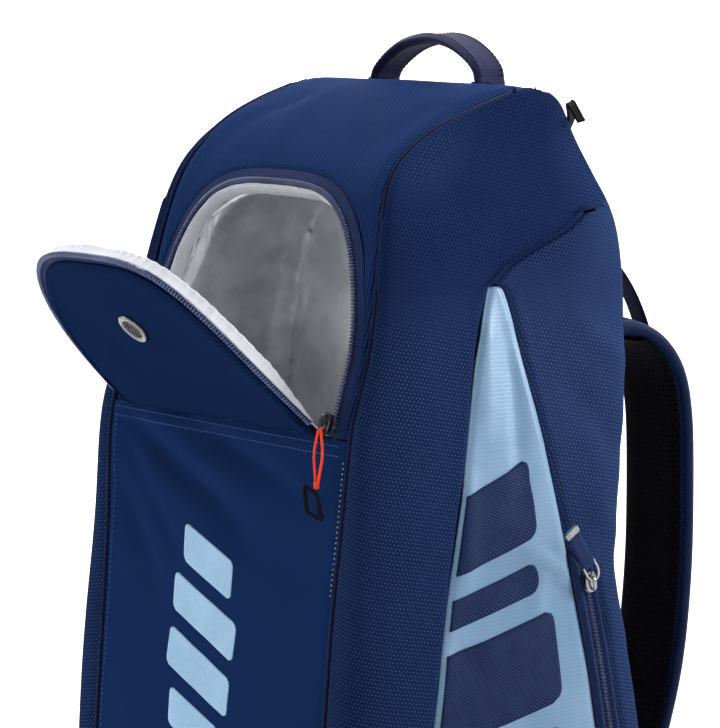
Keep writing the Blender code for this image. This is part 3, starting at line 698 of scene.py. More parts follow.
def make_looks():
    return {
        "front": twill("navy twill", (0.0030, 0.0110, 0.0470), (0.0100, 0.0290, 0.0980)),
        # Shaded copy of the navy twill: painted darker as painted shade on the flap's
        # downward-facing outer side.
        "flap": twill("navy twill, flap", (0.0022, 0.0072, 0.0310), (0.0078, 0.0205, 0.0670)),
        "hood": dotted_mesh("navy mesh, hood", (0.0035, 0.0085, 0.0350),
                            (0.0110, 0.0300, 0.1050), (0.035, 0.080, 0.22),
                            turn=math.pi / 2, stripe=0.55),
        # Shaded copy of the navy mesh: thread and specks painted darker, as painted shade on the
        # sides' front panels and on the straps.
        "side": dotted_mesh("navy mesh, sides", (0.0030, 0.0075, 0.0320),
                            (0.0085, 0.0190, 0.0680), (0.065, 0.12, 0.26), turn=0.20,
                            speck_below=0.640),
        # Lit copy of the navy mesh: thread and specks painted lighter, as painted light on the
        # rear of the sides.
        "rear": dotted_mesh("navy mesh, rear sides", (0.0035, 0.0085, 0.0330),
                            (0.0165, 0.0320, 0.0980), (0.09, 0.16, 0.33), turn=0.20,
                            speck_below=0.640),
        "insert": insert_cloth(),
        "print navy": ribbed("navy print", (0.0030, 0.0085, 0.0330), (0.0100, 0.0240, 0.0850),
                             0.0022, slope=0.80, depth=0.0004),
        "print blue": coated("light blue print", (0.21, 0.36, 0.53), (0.28, 0.45, 0.62), 0.45,
                             specular_ior_level=0.2),
        "tape": ribbed("zip tape", (0.0050, 0.0120, 0.0500), (0.0110, 0.0240, 0.0850), 0.0011),
        "coil": coated("nylon coil", (0.010, 0.020, 0.070), (0.026, 0.044, 0.130), 0.34),
        # Lit copy of the nylon coil: painted lighter, as painted light and glints on the flap's
        # teeth.
        "bright coil": coated("lit nylon coil", (0.020, 0.034, 0.105),
                              (0.060, 0.090, 0.215), 0.34),
        "piping": coated("seam piping", (0.0020, 0.0050, 0.0240), (0.0045, 0.0100, 0.0400),
                         specular_ior_level=0.08),
        # Near-black: painted shadow for the tapes behind the seams and the vent's backing.
        "shadow": coated("seam tape", (0.0010, 0.0020, 0.0100), (0.0020, 0.0040, 0.0180),
                         specular_ior_level=0.08),
        "foil": foil(),
        "facing": ribbed("white facing", (0.47, 0.48, 0.53), (0.58, 0.59, 0.64), 0.0008,
                         depth=0.0002),
        "binding": ribbed("grey binding", (0.42, 0.43, 0.47), (0.66, 0.67, 0.71), 0.0016),
        "webbing": ribbed("dark webbing", (0.0080, 0.0085, 0.0330), (0.0170, 0.0180, 0.0620),
                          0.0017, depth=0.0004),
        "grosgrain": ribbed("strap binding", (0.0040, 0.0085, 0.0320),
                            (0.0110, 0.0230, 0.0750), 0.0016, slope=0.6, depth=0.0004),
        "spacer": spacer_mesh(),
        "base": coated("coated base", (0.004, 0.007, 0.022), (0.008, 0.013, 0.040), 0.55),
        "board": coated("stiff board", (0.030, 0.030, 0.034), (0.050, 0.050, 0.056), 0.80),
        "plastic": coated("black plastic", (0.008, 0.008, 0.011), (0.014, 0.014, 0.018), 0.32,
                          grain=900.0),
        "rubber": coated("grey rubber", (0.005, 0.006, 0.009), (0.009, 0.010, 0.015), 0.70,
                         specular_ior_level=0.04, grain=700.0),
        "cord": ribbed("orange cord", (0.62, 0.035, 0.010), (0.92, 0.085, 0.030), 0.0011,
                       0.50, slope=1.0),
        "chrome": metal("chrome", (0.36, 0.36, 0.38), 0.16, 500.0),
        "brushed": metal("brushed metal", (0.17, 0.167, 0.165), 0.30, 260.0),
        "blue thread": coated("blue thread", (0.030, 0.065, 0.18), (0.06, 0.12, 0.30), 0.6,
                               specular_ior_level=0.08),
        "white thread": coated("white thread", (0.45, 0.48, 0.55), (0.72, 0.74, 0.80), 0.6,
                               specular_ior_level=0.08),
        "black thread": coated("black thread", (0.003, 0.004, 0.012), (0.008, 0.010, 0.03), 0.6,
                               specular_ior_level=0.08),
    }


LOOKS = make_looks()


# The bag's panels -----------------------------------------------------------------
def front_place(x, z):
    """A point of the plain front, for the ends of its creases."""
    return x, OUTLINE.front_y(z), z


def side_place(y, z):
    """A point level with the plain side, for the ends of its creases."""
    return seam_x(z) + side_out(z), y, z


def make_front():
    """The smooth front panel, with soft folds that run down from the flap's fold."""
    grid = []
    for s in spread(0.0, FOLD_S - GAP, 250):
        half = seam_x(OUTLINE.z(s)) - GAP
        grid.append([(x, s) for x in spread(-half, half, 121)])
    points = as_grid(grid, shell)
    left, right, _, last = reach(points)
    edge = np.minimum(left, right)
    lift = 0.0036 * (1 - np.exp(-(edge / 0.055) ** 2)) + dip(edge, 0.0022, 0.0032)
    lift -= 0.0036 * np.clip((0.19 - last) / 0.05, 0, 1) * np.clip(edge / 0.03, 0, 1)
    lift += dip(last, 0.0012, 0.0025) + 0.0009 * np.exp(-((last - 0.0065) / 0.004) ** 2)
    top = FOLD_Z
    lift = creased(lift, points, front_place, (
            ((-0.125, top - 0.012), (0.030, top - 0.070), -0.0076, 0.010),
            ((-0.100, top - 0.006), (0.050, top - 0.052), 0.0030, 0.011),
            ((-0.040, top - 0.004), (0.090, top - 0.040), -0.0042, 0.008),
            ((-0.130, top - 0.050), (-0.060, top - 0.140), -0.0040, 0.013),
            ((0.040, top - 0.090), (0.125, top - 0.050), 0.0026, 0.013),
            ((-0.126, top - 0.028), (-0.040, top - 0.105), -0.0034, 0.009),
            ((-0.020, top - 0.066), (0.110, top - 0.100), -0.0026, 0.012),
            ((-0.100, 0.300), (0.060, 0.240), 0.0015, 0.022),
            ((-0.060, 0.130), (0.110, 0.180), -0.0015, 0.020)))
    lift += 0.0011 * waves(points, (13, 13, 9), 3.1) + 0.0004 * waves(points, (45, 45, 30), 8.7)
    lift = np.where(np.minimum(edge, last) < 0.0005, -0.0012, lift)
    points = lifted(points, lift)
    thing = cloth("front_fabric", points, LOOKS["front"], np.array(grid))
    dress(thing, "bag", "navy_twill", "front_panel")

    rows = [int(np.argmin(np.abs(last[:, 60] - away))) for away in (0.0045, 0.0105)]
    for tag, row in zip(("upper", "lower"), rows):
        path, outs = points[row], outward(points)[row]
        dress(stitch_row(f"fold_stitches_{tag}", path[3:-3], outs[3:-3],
                         LOOKS["blue thread"]), "bag", "navy_twill")
    return points


def hood_edge(t):
    """The hood's outer edge: up the right seam, across the top seam, down the left one."""
    corner = seam_x(TOP_SEAM_Z) - GAP
    low, high = FOLD_S + GAP, RIM_S - GAP
    if 0.35 < t < 0.65:
        return corner * (0.5 - t) / 0.15, high
    share = min(t, 1 - t) / 0.35
    s = low + (high - low) * share
    return math.copysign(seam_x(OUTLINE.z(s)) - GAP, 0.5 - t), s


def make_hood():
    """The mesh panel that frames the shoe opening and wraps over the bag's top."""
    turns = spread(0.0, 1.0, 341)
    grid = []
    for share in spread(0.0, 1.0, 60):
        share = share ** 1.15
        row = []
        for t in turns:
            x, s = mouth_point(t, -0.0034)
            edge_x, edge_s = hood_edge(t)
            row.append((x + (edge_x - x) * share, s + (edge_s - s) * share))
        grid.append(row)
    points = as_grid(grid, shell)
    _, _, first, last = reach(points)
    lift = dip(first, 0.0022, 0.0026) + dip(last, 0.0024, 0.0036)
    lift += 0.0030 * (1 - np.exp(-(np.minimum(first, last) / 0.030) ** 2))
    lift += 0.0018 * waves(points, (16, 16, 12), 1.7) * np.clip(last / 0.02, 0, 1)
    lift = creased(lift, points, front_place, (
            ((0.118, 0.640), (0.088, 0.735), -0.0040, 0.012),
            ((0.100, 0.690), (0.020, 0.735), -0.0022, 0.013),
            ((-0.100, 0.690), (-0.060, 0.740), -0.0030, 0.013),
            ((-0.020, 0.700), (-0.060, 0.745), 0.0020, 0.015),
            ((0.124, 0.580), (0.128, 0.530), -0.0022, 0.009)))
    thing = cloth("hood_fabric", raised(points, lift, FRONT), LOOKS["hood"], np.array(grid))
    dress(thing, "bag", "navy_mesh", "hood_panel")


def make_back():
    grid = []
    for s in spread(RIM_S + GAP, OUTLINE.length, 320):
        half = seam_x(OUTLINE.z(s)) - GAP
        grid.append([(x, s) for x in spread(-half, half, 101)])
    points = as_grid(grid, shell)
    left, right, first, _ = reach(points)
    edge = np.minimum(left, right)
    lift = 0.0012 * (1 - np.exp(-(edge / 0.040) ** 2)) + dip(edge, 0.0022, 0.0034)
    lift += dip(first, 0.0018, 0.0030) + 0.0006 * waves(points, (12, 12, 8), 5.3)
    thing = cloth("back_fabric", raised(points, lift, BACK), LOOKS["hood"], np.array(grid))
    dress(thing, "bag", "navy_mesh", "back_panel")


# The sides ------------------------------------------------------------------------
SEAM_ANGLE = math.pi / 2 - 0.0005
SLANT_LOW, SLANT_HIGH = SLANT[0][0], SLANT[-1][0]


def side_front_bounds(z):
    if z < SLANT_LOW:
        return -SEAM_ANGLE, side_angle(insert_front(z) - GAP, z)
    if z < SLANT_HIGH:
        return -SEAM_ANGLE, side_angle(slant(z) - 0.0002, z)
    return -SEAM_ANGLE, SEAM_ANGLE


def insert_bounds(z):
    return side_angle(insert_front(z) + GAP, z), side_angle(insert_rear(z) - GAP, z)


def zip_bounds(z):
    start = insert_rear(z)
    width = ZIP_STRIP * min((ZIP_TOP + 0.012 - z) / 0.012, 1.0)
    return side_angle(start + GAP, z), side_angle(start + max(width - GAP, 2 * GAP), z)


def side_rear_bounds(z):
    start = insert_rear(z) + GAP
    if z <= ZIP_TOP:
        start += ZIP_STRIP
    elif z <= ZIP_TOP + 0.012:
        start += ZIP_STRIP * (ZIP_TOP + 0.012 - z) / 0.012
    if z > SLANT_LOW - 0.001:
        start = slant(z) + 0.0010
    return side_angle(start, z), SEAM_ANGLE


def side_grid(bounds, low, high, columns, rows):
    """Points of the right side between two bounds, with coordinates along the cloth."""
    points, uv = [], []
    for z in spread(low, high, rows):
        a, b = bounds(z)
        line = []
        for share in spread(0.0, 1.0, columns):
            line.append(side(a + (b - a) * share, z))
        middle = (OUTLINE.front_y(z) + OUTLINE.back_y(z)) / 2
        widest = seam_x(z) + side_out(z)
        points.append(line)
        uv.append([(p.y + math.copysign(widest - p.x, p.y - middle), z) for p in line])
    return np.array(points, float), np.array(uv, float)


def even_columns(points, uv):
    """The same rows of points, spaced evenly along each row."""
    rows, columns = points.shape[:2]
    left = reach(points)[0]
    out, out_uv = np.empty_like(points), np.empty_like(uv)
    for i in range(rows):
        at = np.linspace(0, left[i, -1], columns)
        for k in range(3):
            out[i, :, k] = np.interp(at, left[i], points[i, :, k])
        for k in range(2):
            out_uv[i, :, k] = np.interp(at, left[i], uv[i, :, k])
    return out, out_uv


def side_relief(kind, points):
    """How far a side panel's padding, seams and creases stand off its plain surface."""
    left, right, _, last = reach(points)
    edge = np.minimum(left, right)
    lift = 0.0022 * (1 - np.exp(-(edge / 0.030) ** 2))
    lift += 0.0019 * waves(points, (10, 10, 7), 2.2) * np.clip(edge / 0.012, 0, 1)
    z = points[..., 2]
    if kind == "front":
        slanted = (z > SLANT_LOW) & (z < SLANT_HIGH)
        lift += dip(left, 0.0024, 0.0038) + dip(last, 0.0015, 0.003)
        curl = 0.0022 * np.exp(-((right - 0.0040) / 0.0030) ** 2) + 0.0012
        lift += np.where(slanted, curl + dip(right, 0.0008, 0.0010), dip(right, 0.0016, 0.0020))
    elif kind == "rear":
        lift += dip(left, 0.0026, 0.0032) + dip(right, 0.0024, 0.0036)
        lift = creased(lift, points, side_place, (
                ((0.060, 0.600), (0.115, 0.560), 0.0026, 0.010),
                ((0.050, 0.560), (0.105, 0.500), -0.0030, 0.012),
                ((0.070, 0.480), (0.100, 0.440), 0.0015, 0.009),
                ((0.075, 0.455), (0.102, 0.420), -0.0016, 0.008),
                ((0.085, 0.400), (0.110, 0.370), 0.0014, 0.009)))
    else:
        lift += dip(left, 0.0020, 0.0030) + dip(right, 0.0020, 0.0030)
        lift = creased(lift, points, side_place, (
                ((-0.004, 0.610), (-0.016, 0.520), 0.0034, 0.008),
                ((0.012, 0.590), (0.010, 0.490), -0.0030, 0.008),
                ((-0.030, 0.500), (-0.036, 0.420), 0.0028, 0.008),
                ((0.035, 0.440), (0.020, 0.400), 0.0020, 0.008),
                ((0.024, 0.500), (0.002, 0.470), -0.0018, 0.008),
                ((-0.050, 0.390), (-0.010, 0.360), -0.0018, 0.008)))
        lift += 0.0005 * waves(points, (60, 60, 22), 6.6)
    return lift


def mirrored(points, sign):
    return points * np.array((sign, 1, 1))


PANELS = (
    # The sides' front panels wear the shaded copy of the navy mesh: painted shade.
    ("front", side_front_bounds, FOOT_Z, 0.7490, 100, 342, "side", "navy_mesh"),
    ("insert", insert_bounds, FOOT_Z, 0.6205, 60, 300, "insert", "light_blue"),
    # The sides' rear panels wear the lit copy of the navy mesh: painted light.
    ("rear", side_rear_bounds, FOOT_Z, 0.6720, 76, 312, "rear", "navy_mesh"),
)


def closed_over(points, uv):
    """The front side panel with rows added that close its top edge onto the top seam."""
    edge, edge_uv = points[-1], uv[-1]
    seam = edge.copy()
    seam[:, 0] = np.minimum(edge[:, 0], seam_x(TOP_SEAM_Z) + GAP)
    seam[:, 2] = np.maximum(edge[:, 2], shell(0.0, RIM_S).z) - 0.0006
    shares = (0.25, 0.5, 0.75, 1.0)
    rows = [edge + (seam - edge) * t for t in shares]
    uv_rows = [edge_uv + np.array((0, 0.009 * t)) for t in shares]
    return np.concatenate([points, rows]), np.concatenate([uv, uv_rows])


def make_seam_tapes():
    """Near-black tapes inside the bag, behind every seam of its shell: painted shade where the
    inside of the seams lies in shadow.
    """
    seams = (("insert_front", insert_front, 0.0), ("insert_rear", insert_rear, 0.0),
             ("zip_rear", insert_rear, ZIP_STRIP))
    for name, line, shift in seams:
        high = ZIP_TOP if shift else INSERT_FRONT[-1][0]

        def bounds(z):
            return (side_angle(line(z) + shift - 0.0050, z),
                    side_angle(line(z) + shift + 0.0050, z))

        points, uv = side_grid(bounds, FOOT_Z + 0.004, high, 5, 120)
        points = raised(points, -0.0034, RIGHT)
        for tag, flip in SIDES:
            tape = cloth(f"{name}_seam_tape_{tag}", mirrored(points, flip), LOOKS["shadow"], uv,
                         thick=0.0006)
            dress(tape, "bag", "navy_tape")
    for tag, flip in SIDES:
        path = [shell(flip * (seam_x(OUTLINE.z(s)) - 0.0010), s, -0.0046)
                for s in spread(0.006, OUTLINE.length - 0.006, 240)]
        tape = sweep(f"corner_seam_tape_{tag}", path, Vector((flip, 0, 0)),
                     lambda _: band(0.0110, 0.0008), LOOKS["shadow"])
        dress(tape, "bag", "navy_tape")


def make_sides():
    """The three cloth pieces of each side; returns the insert's surface, for its print."""
    for kind, bounds, low, high, columns, rows, look, slot in PANELS:
        points, uv = even_columns(*side_grid(bounds, low, high, columns, rows))
        points = raised(points, side_relief(kind, points), RIGHT)
        if kind == "front":
            points, uv = closed_over(points, uv)
        elif kind == "insert":
            insert = points
        for tag, flip in SIDES:
            thing = cloth(f"side_{kind}_fabric_{tag}", mirrored(points, flip), LOOKS[look], uv)
            dress(thing, "bag", slot, f"side_{kind}_{tag}")
    return insert


def surface_at(points, share, z):
    """A point of a side panel: share of the way across it, at height z."""
    heights = points[:, 0, 2]
    row = float(np.interp(z, heights, np.arange(len(heights))))
    return blend_grid(points, row, share * (points.shape[1] - 1))


def make_side_prints(insert):
    """Bold slanted bars across the insert, in place of the maker's lettering."""
    for tag, flip in SIDES:
        bars = []
        for top, tall, end in ((0.500, 0.052, 0.74), (0.432, 0.020, 0.70),
                               (0.396, 0.062, 0.80), (0.318, 0.020, 0.78),
                               (0.282, 0.062, 0.84), (0.204, 0.020, 0.84),
                               (0.168, 0.062, 0.86), (0.090, 0.020, 0.86)):
            rows = []
            for v in spread(0.0, 1.0, 22):
                rounding = min(v, 1 - v) * tall / 0.009
                short = 0.07 * (1 - math.sqrt(1 - (1 - min(rounding, 1.0)) ** 2))
                row = []
                for share in spread(0.03, end - short, 40):
                    z = top - tall * v + 0.030 * (share - 0.5)
                    row.append(surface_at(insert, share, z))
                rows.append(row)
            bars.append(np.array(rows, float))
        join_cloths(f"side_print_{tag}", [mirrored(b, flip) for b in bars], "print navy",
                    "light_blue", 0.0006)


def join_cloths(name, grids, look, slot, lift):
    """Several thin patches laid on a panel of the bag, as one piece."""
    verts, faces, uv = [], [], []
    middle = np.array((0, 0, 0.4))
    for points in grids:
        if np.sum(outward(points) * (points - middle)) < 0:
            points = points[:, ::-1]
        rows, columns = points.shape[:2]
        left, _, first, _ = reach(points)
        start = len(verts)
        verts.extend(lifted(points, lift).reshape(-1, 3))
        uv.extend(np.stack([left, first], axis=2).reshape(-1, 2))
        faces.extend(tuple(start + k for k in f) for f in grid_faces(rows, columns))
    thing = add_piece(name, verts, faces, LOOKS[look], np.array(uv))
    solid = thing.modifiers.new("thickness", "SOLIDIFY")
    solid.thickness, solid.offset = 0.0004, -1.0
    dress(thing, "bag", slot)


def make_front_print(front):
    """Light-blue slanted bars down the front, in place of the maker's lettering."""
    s_of_row = np.linspace(0.0, FOLD_S - GAP, front.shape[0])
    columns = front.shape[1]
    patches = []
    for k in range(11):
        top = 0.4420 - 0.0375 * k
        wide = 0.078 if k % 3 else 0.060
        rows = []
        for v in spread(0.0, 1.0, 16):
            corner = max(1 - min(v, 1 - v) * 0.026 / 0.005, 0.0)
            trim = 0.004 * (1 - math.sqrt(max(1 - corner ** 2, 0.0)))
            row = []
            for u in spread(-wide / 2 + trim, wide / 2 - trim, 50):
                s = OUTLINE.front_s(top - 0.026 * v - 0.34 * u)
                half = seam_x(OUTLINE.z(s)) - GAP
                i = float(np.interp(s, s_of_row, np.arange(len(s_of_row))))
                j = (u - 0.006 + half) / (2 * half) * (columns - 1)
                row.append(blend_grid(front, i, j))
            rows.append(row)
        patches.append(np.array(rows, float))
    join_cloths("front_print", patches, "print blue", "navy_twill", 0.0005)


# Seams ----------------------------------------------------------------------------
def seam_path(low, high):
    """A line along the corner seam between the front, top and back and the right side."""
    return [shell(seam_x(OUTLINE.z(s)) + GAP, s, -0.0008) + Vector((0.0008, 0, 0))
            for s in spread(low, high, 160)]


def make_seams(front):
    """Piping down the corner seams, and the stitches beside them."""
    for tag, flip in SIDES:
        for name, low, high in (("front", 0.002, RIM_S), ("back", RIM_S, OUTLINE.length - 0.002)):
            path = [Vector((p.x * flip, p.y, p.z)) for p in seam_path(low, high)]
            pipe = sweep(f"{name}_piping_{tag}", path, Vector((flip, 0, 0)),
                         lambda _: disc(0.0015, 8), LOOKS["piping"])
            dress(pipe, "bag", "navy_twill")
    n = outward(front)
    low = int(np.argmin(np.abs(front[:, 0, 2] - 0.424)))
    high = int(np.argmin(np.abs(front[:, 0, 2] - 0.515)))
    dress(stitch_row("front_seam_stitches_white", front[low:high, -2], n[low:high, -2],
                     LOOKS["white thread"], 0.0004, (0.0010, 0.0024)), "bag", "navy_twill")
    dress(stitch_row("front_seam_stitches_left", front[20:-4, 3], n[20:-4, 3],
                     LOOKS["blue thread"], 0.0003, (0.0016, 0.0020)), "bag", "navy_twill")


def make_base():
    """The coated base, with a bound rim round its foot."""
    rim = [side(angle, FOOT_Z) for angle in spread(-SEAM_ANGLE, SEAM_ANGLE, 60)]
    middle = (rim[0].y + rim[-1].y) / 2
    ring = rim + [Vector((-p.x, p.y, p.z)) for p in reversed(rim)]
    rows = []
    for share, z in ((0.05, 0.0004), (0.60, 0.0004), (0.955, 0.0004), (0.975, 0.0010),
                     (0.985, 0.0024), (0.987, 0.0048), (0.975, 0.0062)):
        rows.append([(p.x * share, middle + (p.y - middle) * share, z) for p in ring])
    points = np.array(rows, float)
    thing = cloth("base_fabric", points, LOOKS["base"], thick=0.0012, ring=True,
                  away=(0, 0, 0.05))
    dress(thing, "bag", "base_fabric", "base_panel")
    path = [Vector((p.x * 0.985, middle + (p.y - middle) * 0.985, 0.0072)) for p in ring]
    piping = sweep("base_piping", path, Vector((0, 0, 1)), lambda _: disc(0.0022, 8),
                   LOOKS["piping"], loop=True)
    dress(piping, "bag", "base_fabric")


# The shoe opening -----------------------------------------------------------------
def make_liner():
    """The silver-coated lining, crinkled all over."""
    bm = bmesh.new()
    bm.from_mesh(frame["nodes"]["shoe_liner"].data)
    bmesh.ops.remove_doubles(bm, verts=bm.verts, dist=1e-5)
    bmesh.ops.subdivide_edges(bm, edges=[e for e in bm.edges if e.calc_length() > 0.008],
                              cuts=3, use_grid_fill=True)
    bmesh.ops.triangulate(bm, faces=bm.faces)
    bmesh.ops.subdivide_edges(bm, edges=[e for e in bm.edges if e.calc_length() > 0.006],
                              cuts=1, use_grid_fill=True)
    for v in bm.verts:
        p = v.co
        fade = min(max((p.y + 0.098) / 0.03, 0.0), 1.0)
        slow = noise.noise_vector(p * 22.0) * 0.0042
        sharp = noise.turbulence_vector(p * 60.0, 3, True) * 0.0016
        v.co = p + (slow + sharp) * fade
        if v.co.z > FOLD_Z - 0.002:
            v.co.y = max(v.co.y, OUTLINE.front_y(v.co.z) + 0.0100)
    mesh = bpy.data.meshes.new("liner_fabric")
    bm.to_mesh(mesh)
    bm.free()
    mesh.shade_smooth()
    dress(put("liner_fabric", mesh, LOOKS["foil"]), "bag", "silver_lining", "shoe_liner")


def arch_frames(path, out_at, low):
    """Points along an arch, with the directions off it and in towards its middle."""
    turns = spread(low, 1 - low, 400)
    points = np.array([path(t) for t in turns], float)
    outs = np.array([out_at(t) for t in turns], float)
    inward = unit(np.cross(np.gradient(points, axis=0), outs))
    middle = points.mean(axis=0)
    if np.sum(inward * (middle - points)) < 0:
        inward = -inward
    return points, outs, inward


def coil_teeth(name, points, outs, look, lift):
    """The teeth of half a zip, standing across a path."""
    spots, ways = resample(points, TOOTH_PITCH)
    off = spaced(outs, len(spots))
    across = unit(np.cross(ways, off))
    return beads(name, spots + off * lift, across, off, 0.0046, (0.00085, 0.0010), look,
                 arc=0.0008)


def woven_coil(name, points, outs, length, height, arc):
    """A closed zip's coil along a path: fine loops across it, left and right by turns."""
    spots, ways = resample(points, COIL_PITCH)
    off = spaced(outs, len(spots))
    across = unit(np.cross(ways, off))
    shift = np.where(np.arange(len(spots)) % 2, 0.0007, -0.0007)[:, None]
    coil = beads(name, spots + off * 0.0002 + across * shift, across, off, length,
                 (0.00052, height), LOOKS["coil"], arc)
    dress(coil, "bag", "navy_tape")


def tape_grid(points, outs, inward, places):
    """Rows of a tape: each place is how far in from the path, and how far off the cloth."""
    return np.array([points + inward * a + outs * b for a, b in places])


def mouth_out(t):
    n = OUTLINE.normal(mouth_point(t)[1])
    return Vector((0, n.x, n.y))


def make_mouth():
    """The bag's half of the shoe zip: tape, coil teeth, and the binding inside it."""
    points, outs, inward = arch_frames(lambda t: shell(*mouth_point(t)), mouth_out, 0.0012)
    tape = tape_grid(points, outs, inward, [(-0.0045, -0.0016), (-0.0030, -0.0012),
                                            (0.0010, -0.0006), (0.0046, -0.0006),
                                            (0.0070, -0.0012)])
    thing = cloth("mouth_tape", tape, LOOKS["tape"], thick=0.0008)
    dress(thing, "bag", "navy_tape", "mouth_zip")
    dress(coil_teeth("mouth_coil", points + inward * 0.0054, outs, LOOKS["coil"], 0.0004),
          "bag", "navy_tape")
    for tag, flip in SIDES:
        rows = [[(flip * x, s) for x in spread(MOUTH[0] - 0.026, MOUTH[0] + 0.0035, 16)]
                for s in spread(FOLD_S + 0.0004, FOLD_S + 0.0135, 10)]
        foot = cloth(f"mouth_foot_{tag}", as_grid(rows, lambda x, s: shell(x, s, -0.0022)),
                     LOOKS["tape"], thick=0.0008)
        dress(foot, "bag", "navy_tape")
    wobble = np.array([noise.noise(Vector(p) * 60.0) for p in points])[:, None] * 0.0012
    rows = []
    for a, b in ((0.0072, -0.0008), (0.0086, -0.0022), (0.0094, -0.0060), (0.0100, -0.0100),
                 (0.0092, -0.0140)):
        rows.append(points + inward * (a + wobble) + outs * b)
    binding = cloth("mouth_binding", np.array(rows), LOOKS["binding"], thick=0.0008)
    dress(binding, "bag", "silver_lining")


def bow(q):
    """How far the open flap bellies out between its fold and its free edge."""
    return 0.0050 * math.sin(math.pi * min(max(q / MOUTH[1], 0.0), 1.0))


FLAP_COIL = 0.0118           # how far in from the opening's edge the flap's coil lies
FLAP_EDGE = 0.0185           # and the folded edge of the flap's cloth


def make_flap():
    """The flap's cloth, its lining and its crinkled white facing."""
    grid = []
    for share in spread(0.0, 1.0, 90):
        row = []
        for t in spread(0.0, 1.0, 221):
            x, q = arch(MOUTH[0] - FLAP_EDGE, MOUTH[1] - FLAP_EDGE, t)
            foot = (MOUTH[0] - 0.012) * (1 - 2 * t)
            rise = max(q - 0.0008, 0.0)
            row.append((foot + (x - foot) * share, 0.0008 + rise * share))
        grid.append(row)
    points = as_grid(grid, lambda x, q: flap(x, q, min(q / 0.006, 1.0) * 0.0024 + bow(q)))
    left, right, _, last = reach(points)
    rim = np.minimum(last, np.minimum(left, right) + 0.004)
    lift = dip(last, 0.0024, 0.0022) + 0.0008 * np.exp(-((last - 0.0045) / 0.002) ** 2)
    lift = creased(lift, points, lambda x, q: flap(x, q, bow(q)), (
            ((-0.060, 0.050), (0.105, 0.016), -0.0034, 0.011),
            ((-0.095, 0.034), (0.050, 0.014), -0.0026, 0.009),
            ((0.010, 0.090), (0.100, 0.045), -0.0024, 0.013),
            ((-0.080, 0.110), (-0.030, 0.060), -0.0018, 0.013),
            ((0.020, 0.066), (0.090, 0.030), -0.0022, 0.008)))
    lift -= 0.0010 * (1 - waves(points, (18, 18, 18), 4.4)) * np.clip(rim / 0.01, 0, 1)
    # The flap's cloth wears the shaded copy of the navy twill: painted shade.
    thing = cloth("flap_fabric", raised(points, lift, FLAP_OUT), LOOKS["flap"],
                  np.array(grid), thick=0.0018)
    dress(thing, "flap", "navy_twill", "flap_shell")

    back = as_grid([[(x * 1.03, min(q * 1.03, MOUTH[1] - 0.014)) for x, q in row[::4]]
                    for row in grid[::4]],
                   lambda x, q: flap(x, q, bow(q) * min(q / 0.01, 1.0) - 0.0012))
    back = back + 0.0008 * np.array(-FLAP_OUT) * waves(back, (40, 40, 40), 9.1)[..., None]
    back += np.array(FLAP_OUT) * np.minimum(lift[::4, ::4] + 0.0006, 0)[..., None]
    lining = cloth("flap_lining_cloth", back, LOOKS["facing"], thick=0.0007)
    dress(lining, "flap", "white_lining", "flap_lining")

    def path(t):
        x, q = arch(MOUTH[0] - FLAP_COIL, MOUTH[1] - FLAP_COIL, t)
        return flap(x, q, bow(q) * 0.9)

    points, outs, inward = arch_frames(path, lambda _: FLAP_OUT, 0.006)
    tape = tape_grid(points, outs, inward, [(-0.0008, 0.0004), (0.0020, 0.0012),
                                            (0.0050, 0.0014), (0.0085, 0.0004)])
    dress(cloth("flap_tape", tape, LOOKS["tape"], thick=0.0008), "flap", "navy_tape",
          "flap_zip")
    # The flap's teeth wear the lit copy of the coil: painted light.
    dress(coil_teeth("flap_coil", points, outs, LOOKS["bright coil"], 0.0012),
          "flap", "navy_tape")
    make_facing(points, outs, inward)


def make_facing(points, outs, inward):
    """The white facing that stands up behind the flap's coil, pleated by its stitching."""
    gaps = np.linalg.norm(np.diff(points, axis=0), axis=1)
    along = np.concatenate([[0.0], np.cumsum(gaps)])
    total = along[-1]
    height = 0.0088 * np.clip(np.minimum(along, total - along) / 0.050, 0.12, 1.0) ** 0.7
    pleat = np.array([noise.noise(Vector((a * 95.0, 0.3, 0.7))) for a in along])
    slow = np.array([noise.noise(Vector((a * 24.0, 5.1, 2.2))) for a in along])
    rows = []
    for share in spread(0.0, 1.0, 12):
        rise = (height * share)[:, None]
        roll = 0.0020 * math.sin(share * math.pi) + 0.0016 * share * share
        pucker = 0.0004 * np.sin(along * 2 * math.pi / 0.0085 + 4 * slow) * (0.3 + share)
        sway = ((0.0014 * pleat + 0.0012 * slow) * share + pucker)[:, None]
        rows.append(points - outs * (0.0010 + rise * 0.98) - inward * (0.0006 - roll * 0.2)
                    + inward * (sway + 0.0012 * share))
    facing = cloth("flap_facing", np.array(rows), LOOKS["facing"], thick=0.0007)
    dress(facing, "flap", "white_lining")


def make_vent():
    """The mesh vent in the flap: a rolled metal ring round a perforated plate."""
    q, radius = 0.0966, 0.0098
    centre = flap(0.0, q, bow(q) + 0.0042)
    right, up = Vector((1, 0, 0)), FLAP_UP

    def ring(r, lift, count=64):
        return [centre + (right * math.cos(a) + up * math.sin(a)) * r + FLAP_OUT * lift
                for a in (2 * math.pi * i / count for i in range(count))]

    section = [(0.0024, -0.0006), (0.0026, 0.0001), (0.0018, 0.0009), (0.0004, 0.0012),
               (-0.0012, 0.0009), (-0.0020, 0.0001), (-0.0018, -0.0006)]
    rows = [ring(radius + a, b) for a, b in section]
    thing = cloth("vent_rim", np.array([[tuple(p) for p in row] for row in rows]),
                  LOOKS["brushed"], thick=0.0006, ring=True, away=tuple(centre - FLAP_OUT))
    dress(thing, "flap", "chrome", "vent_ring")
    make_vent_plate(centre, right, up, radius)


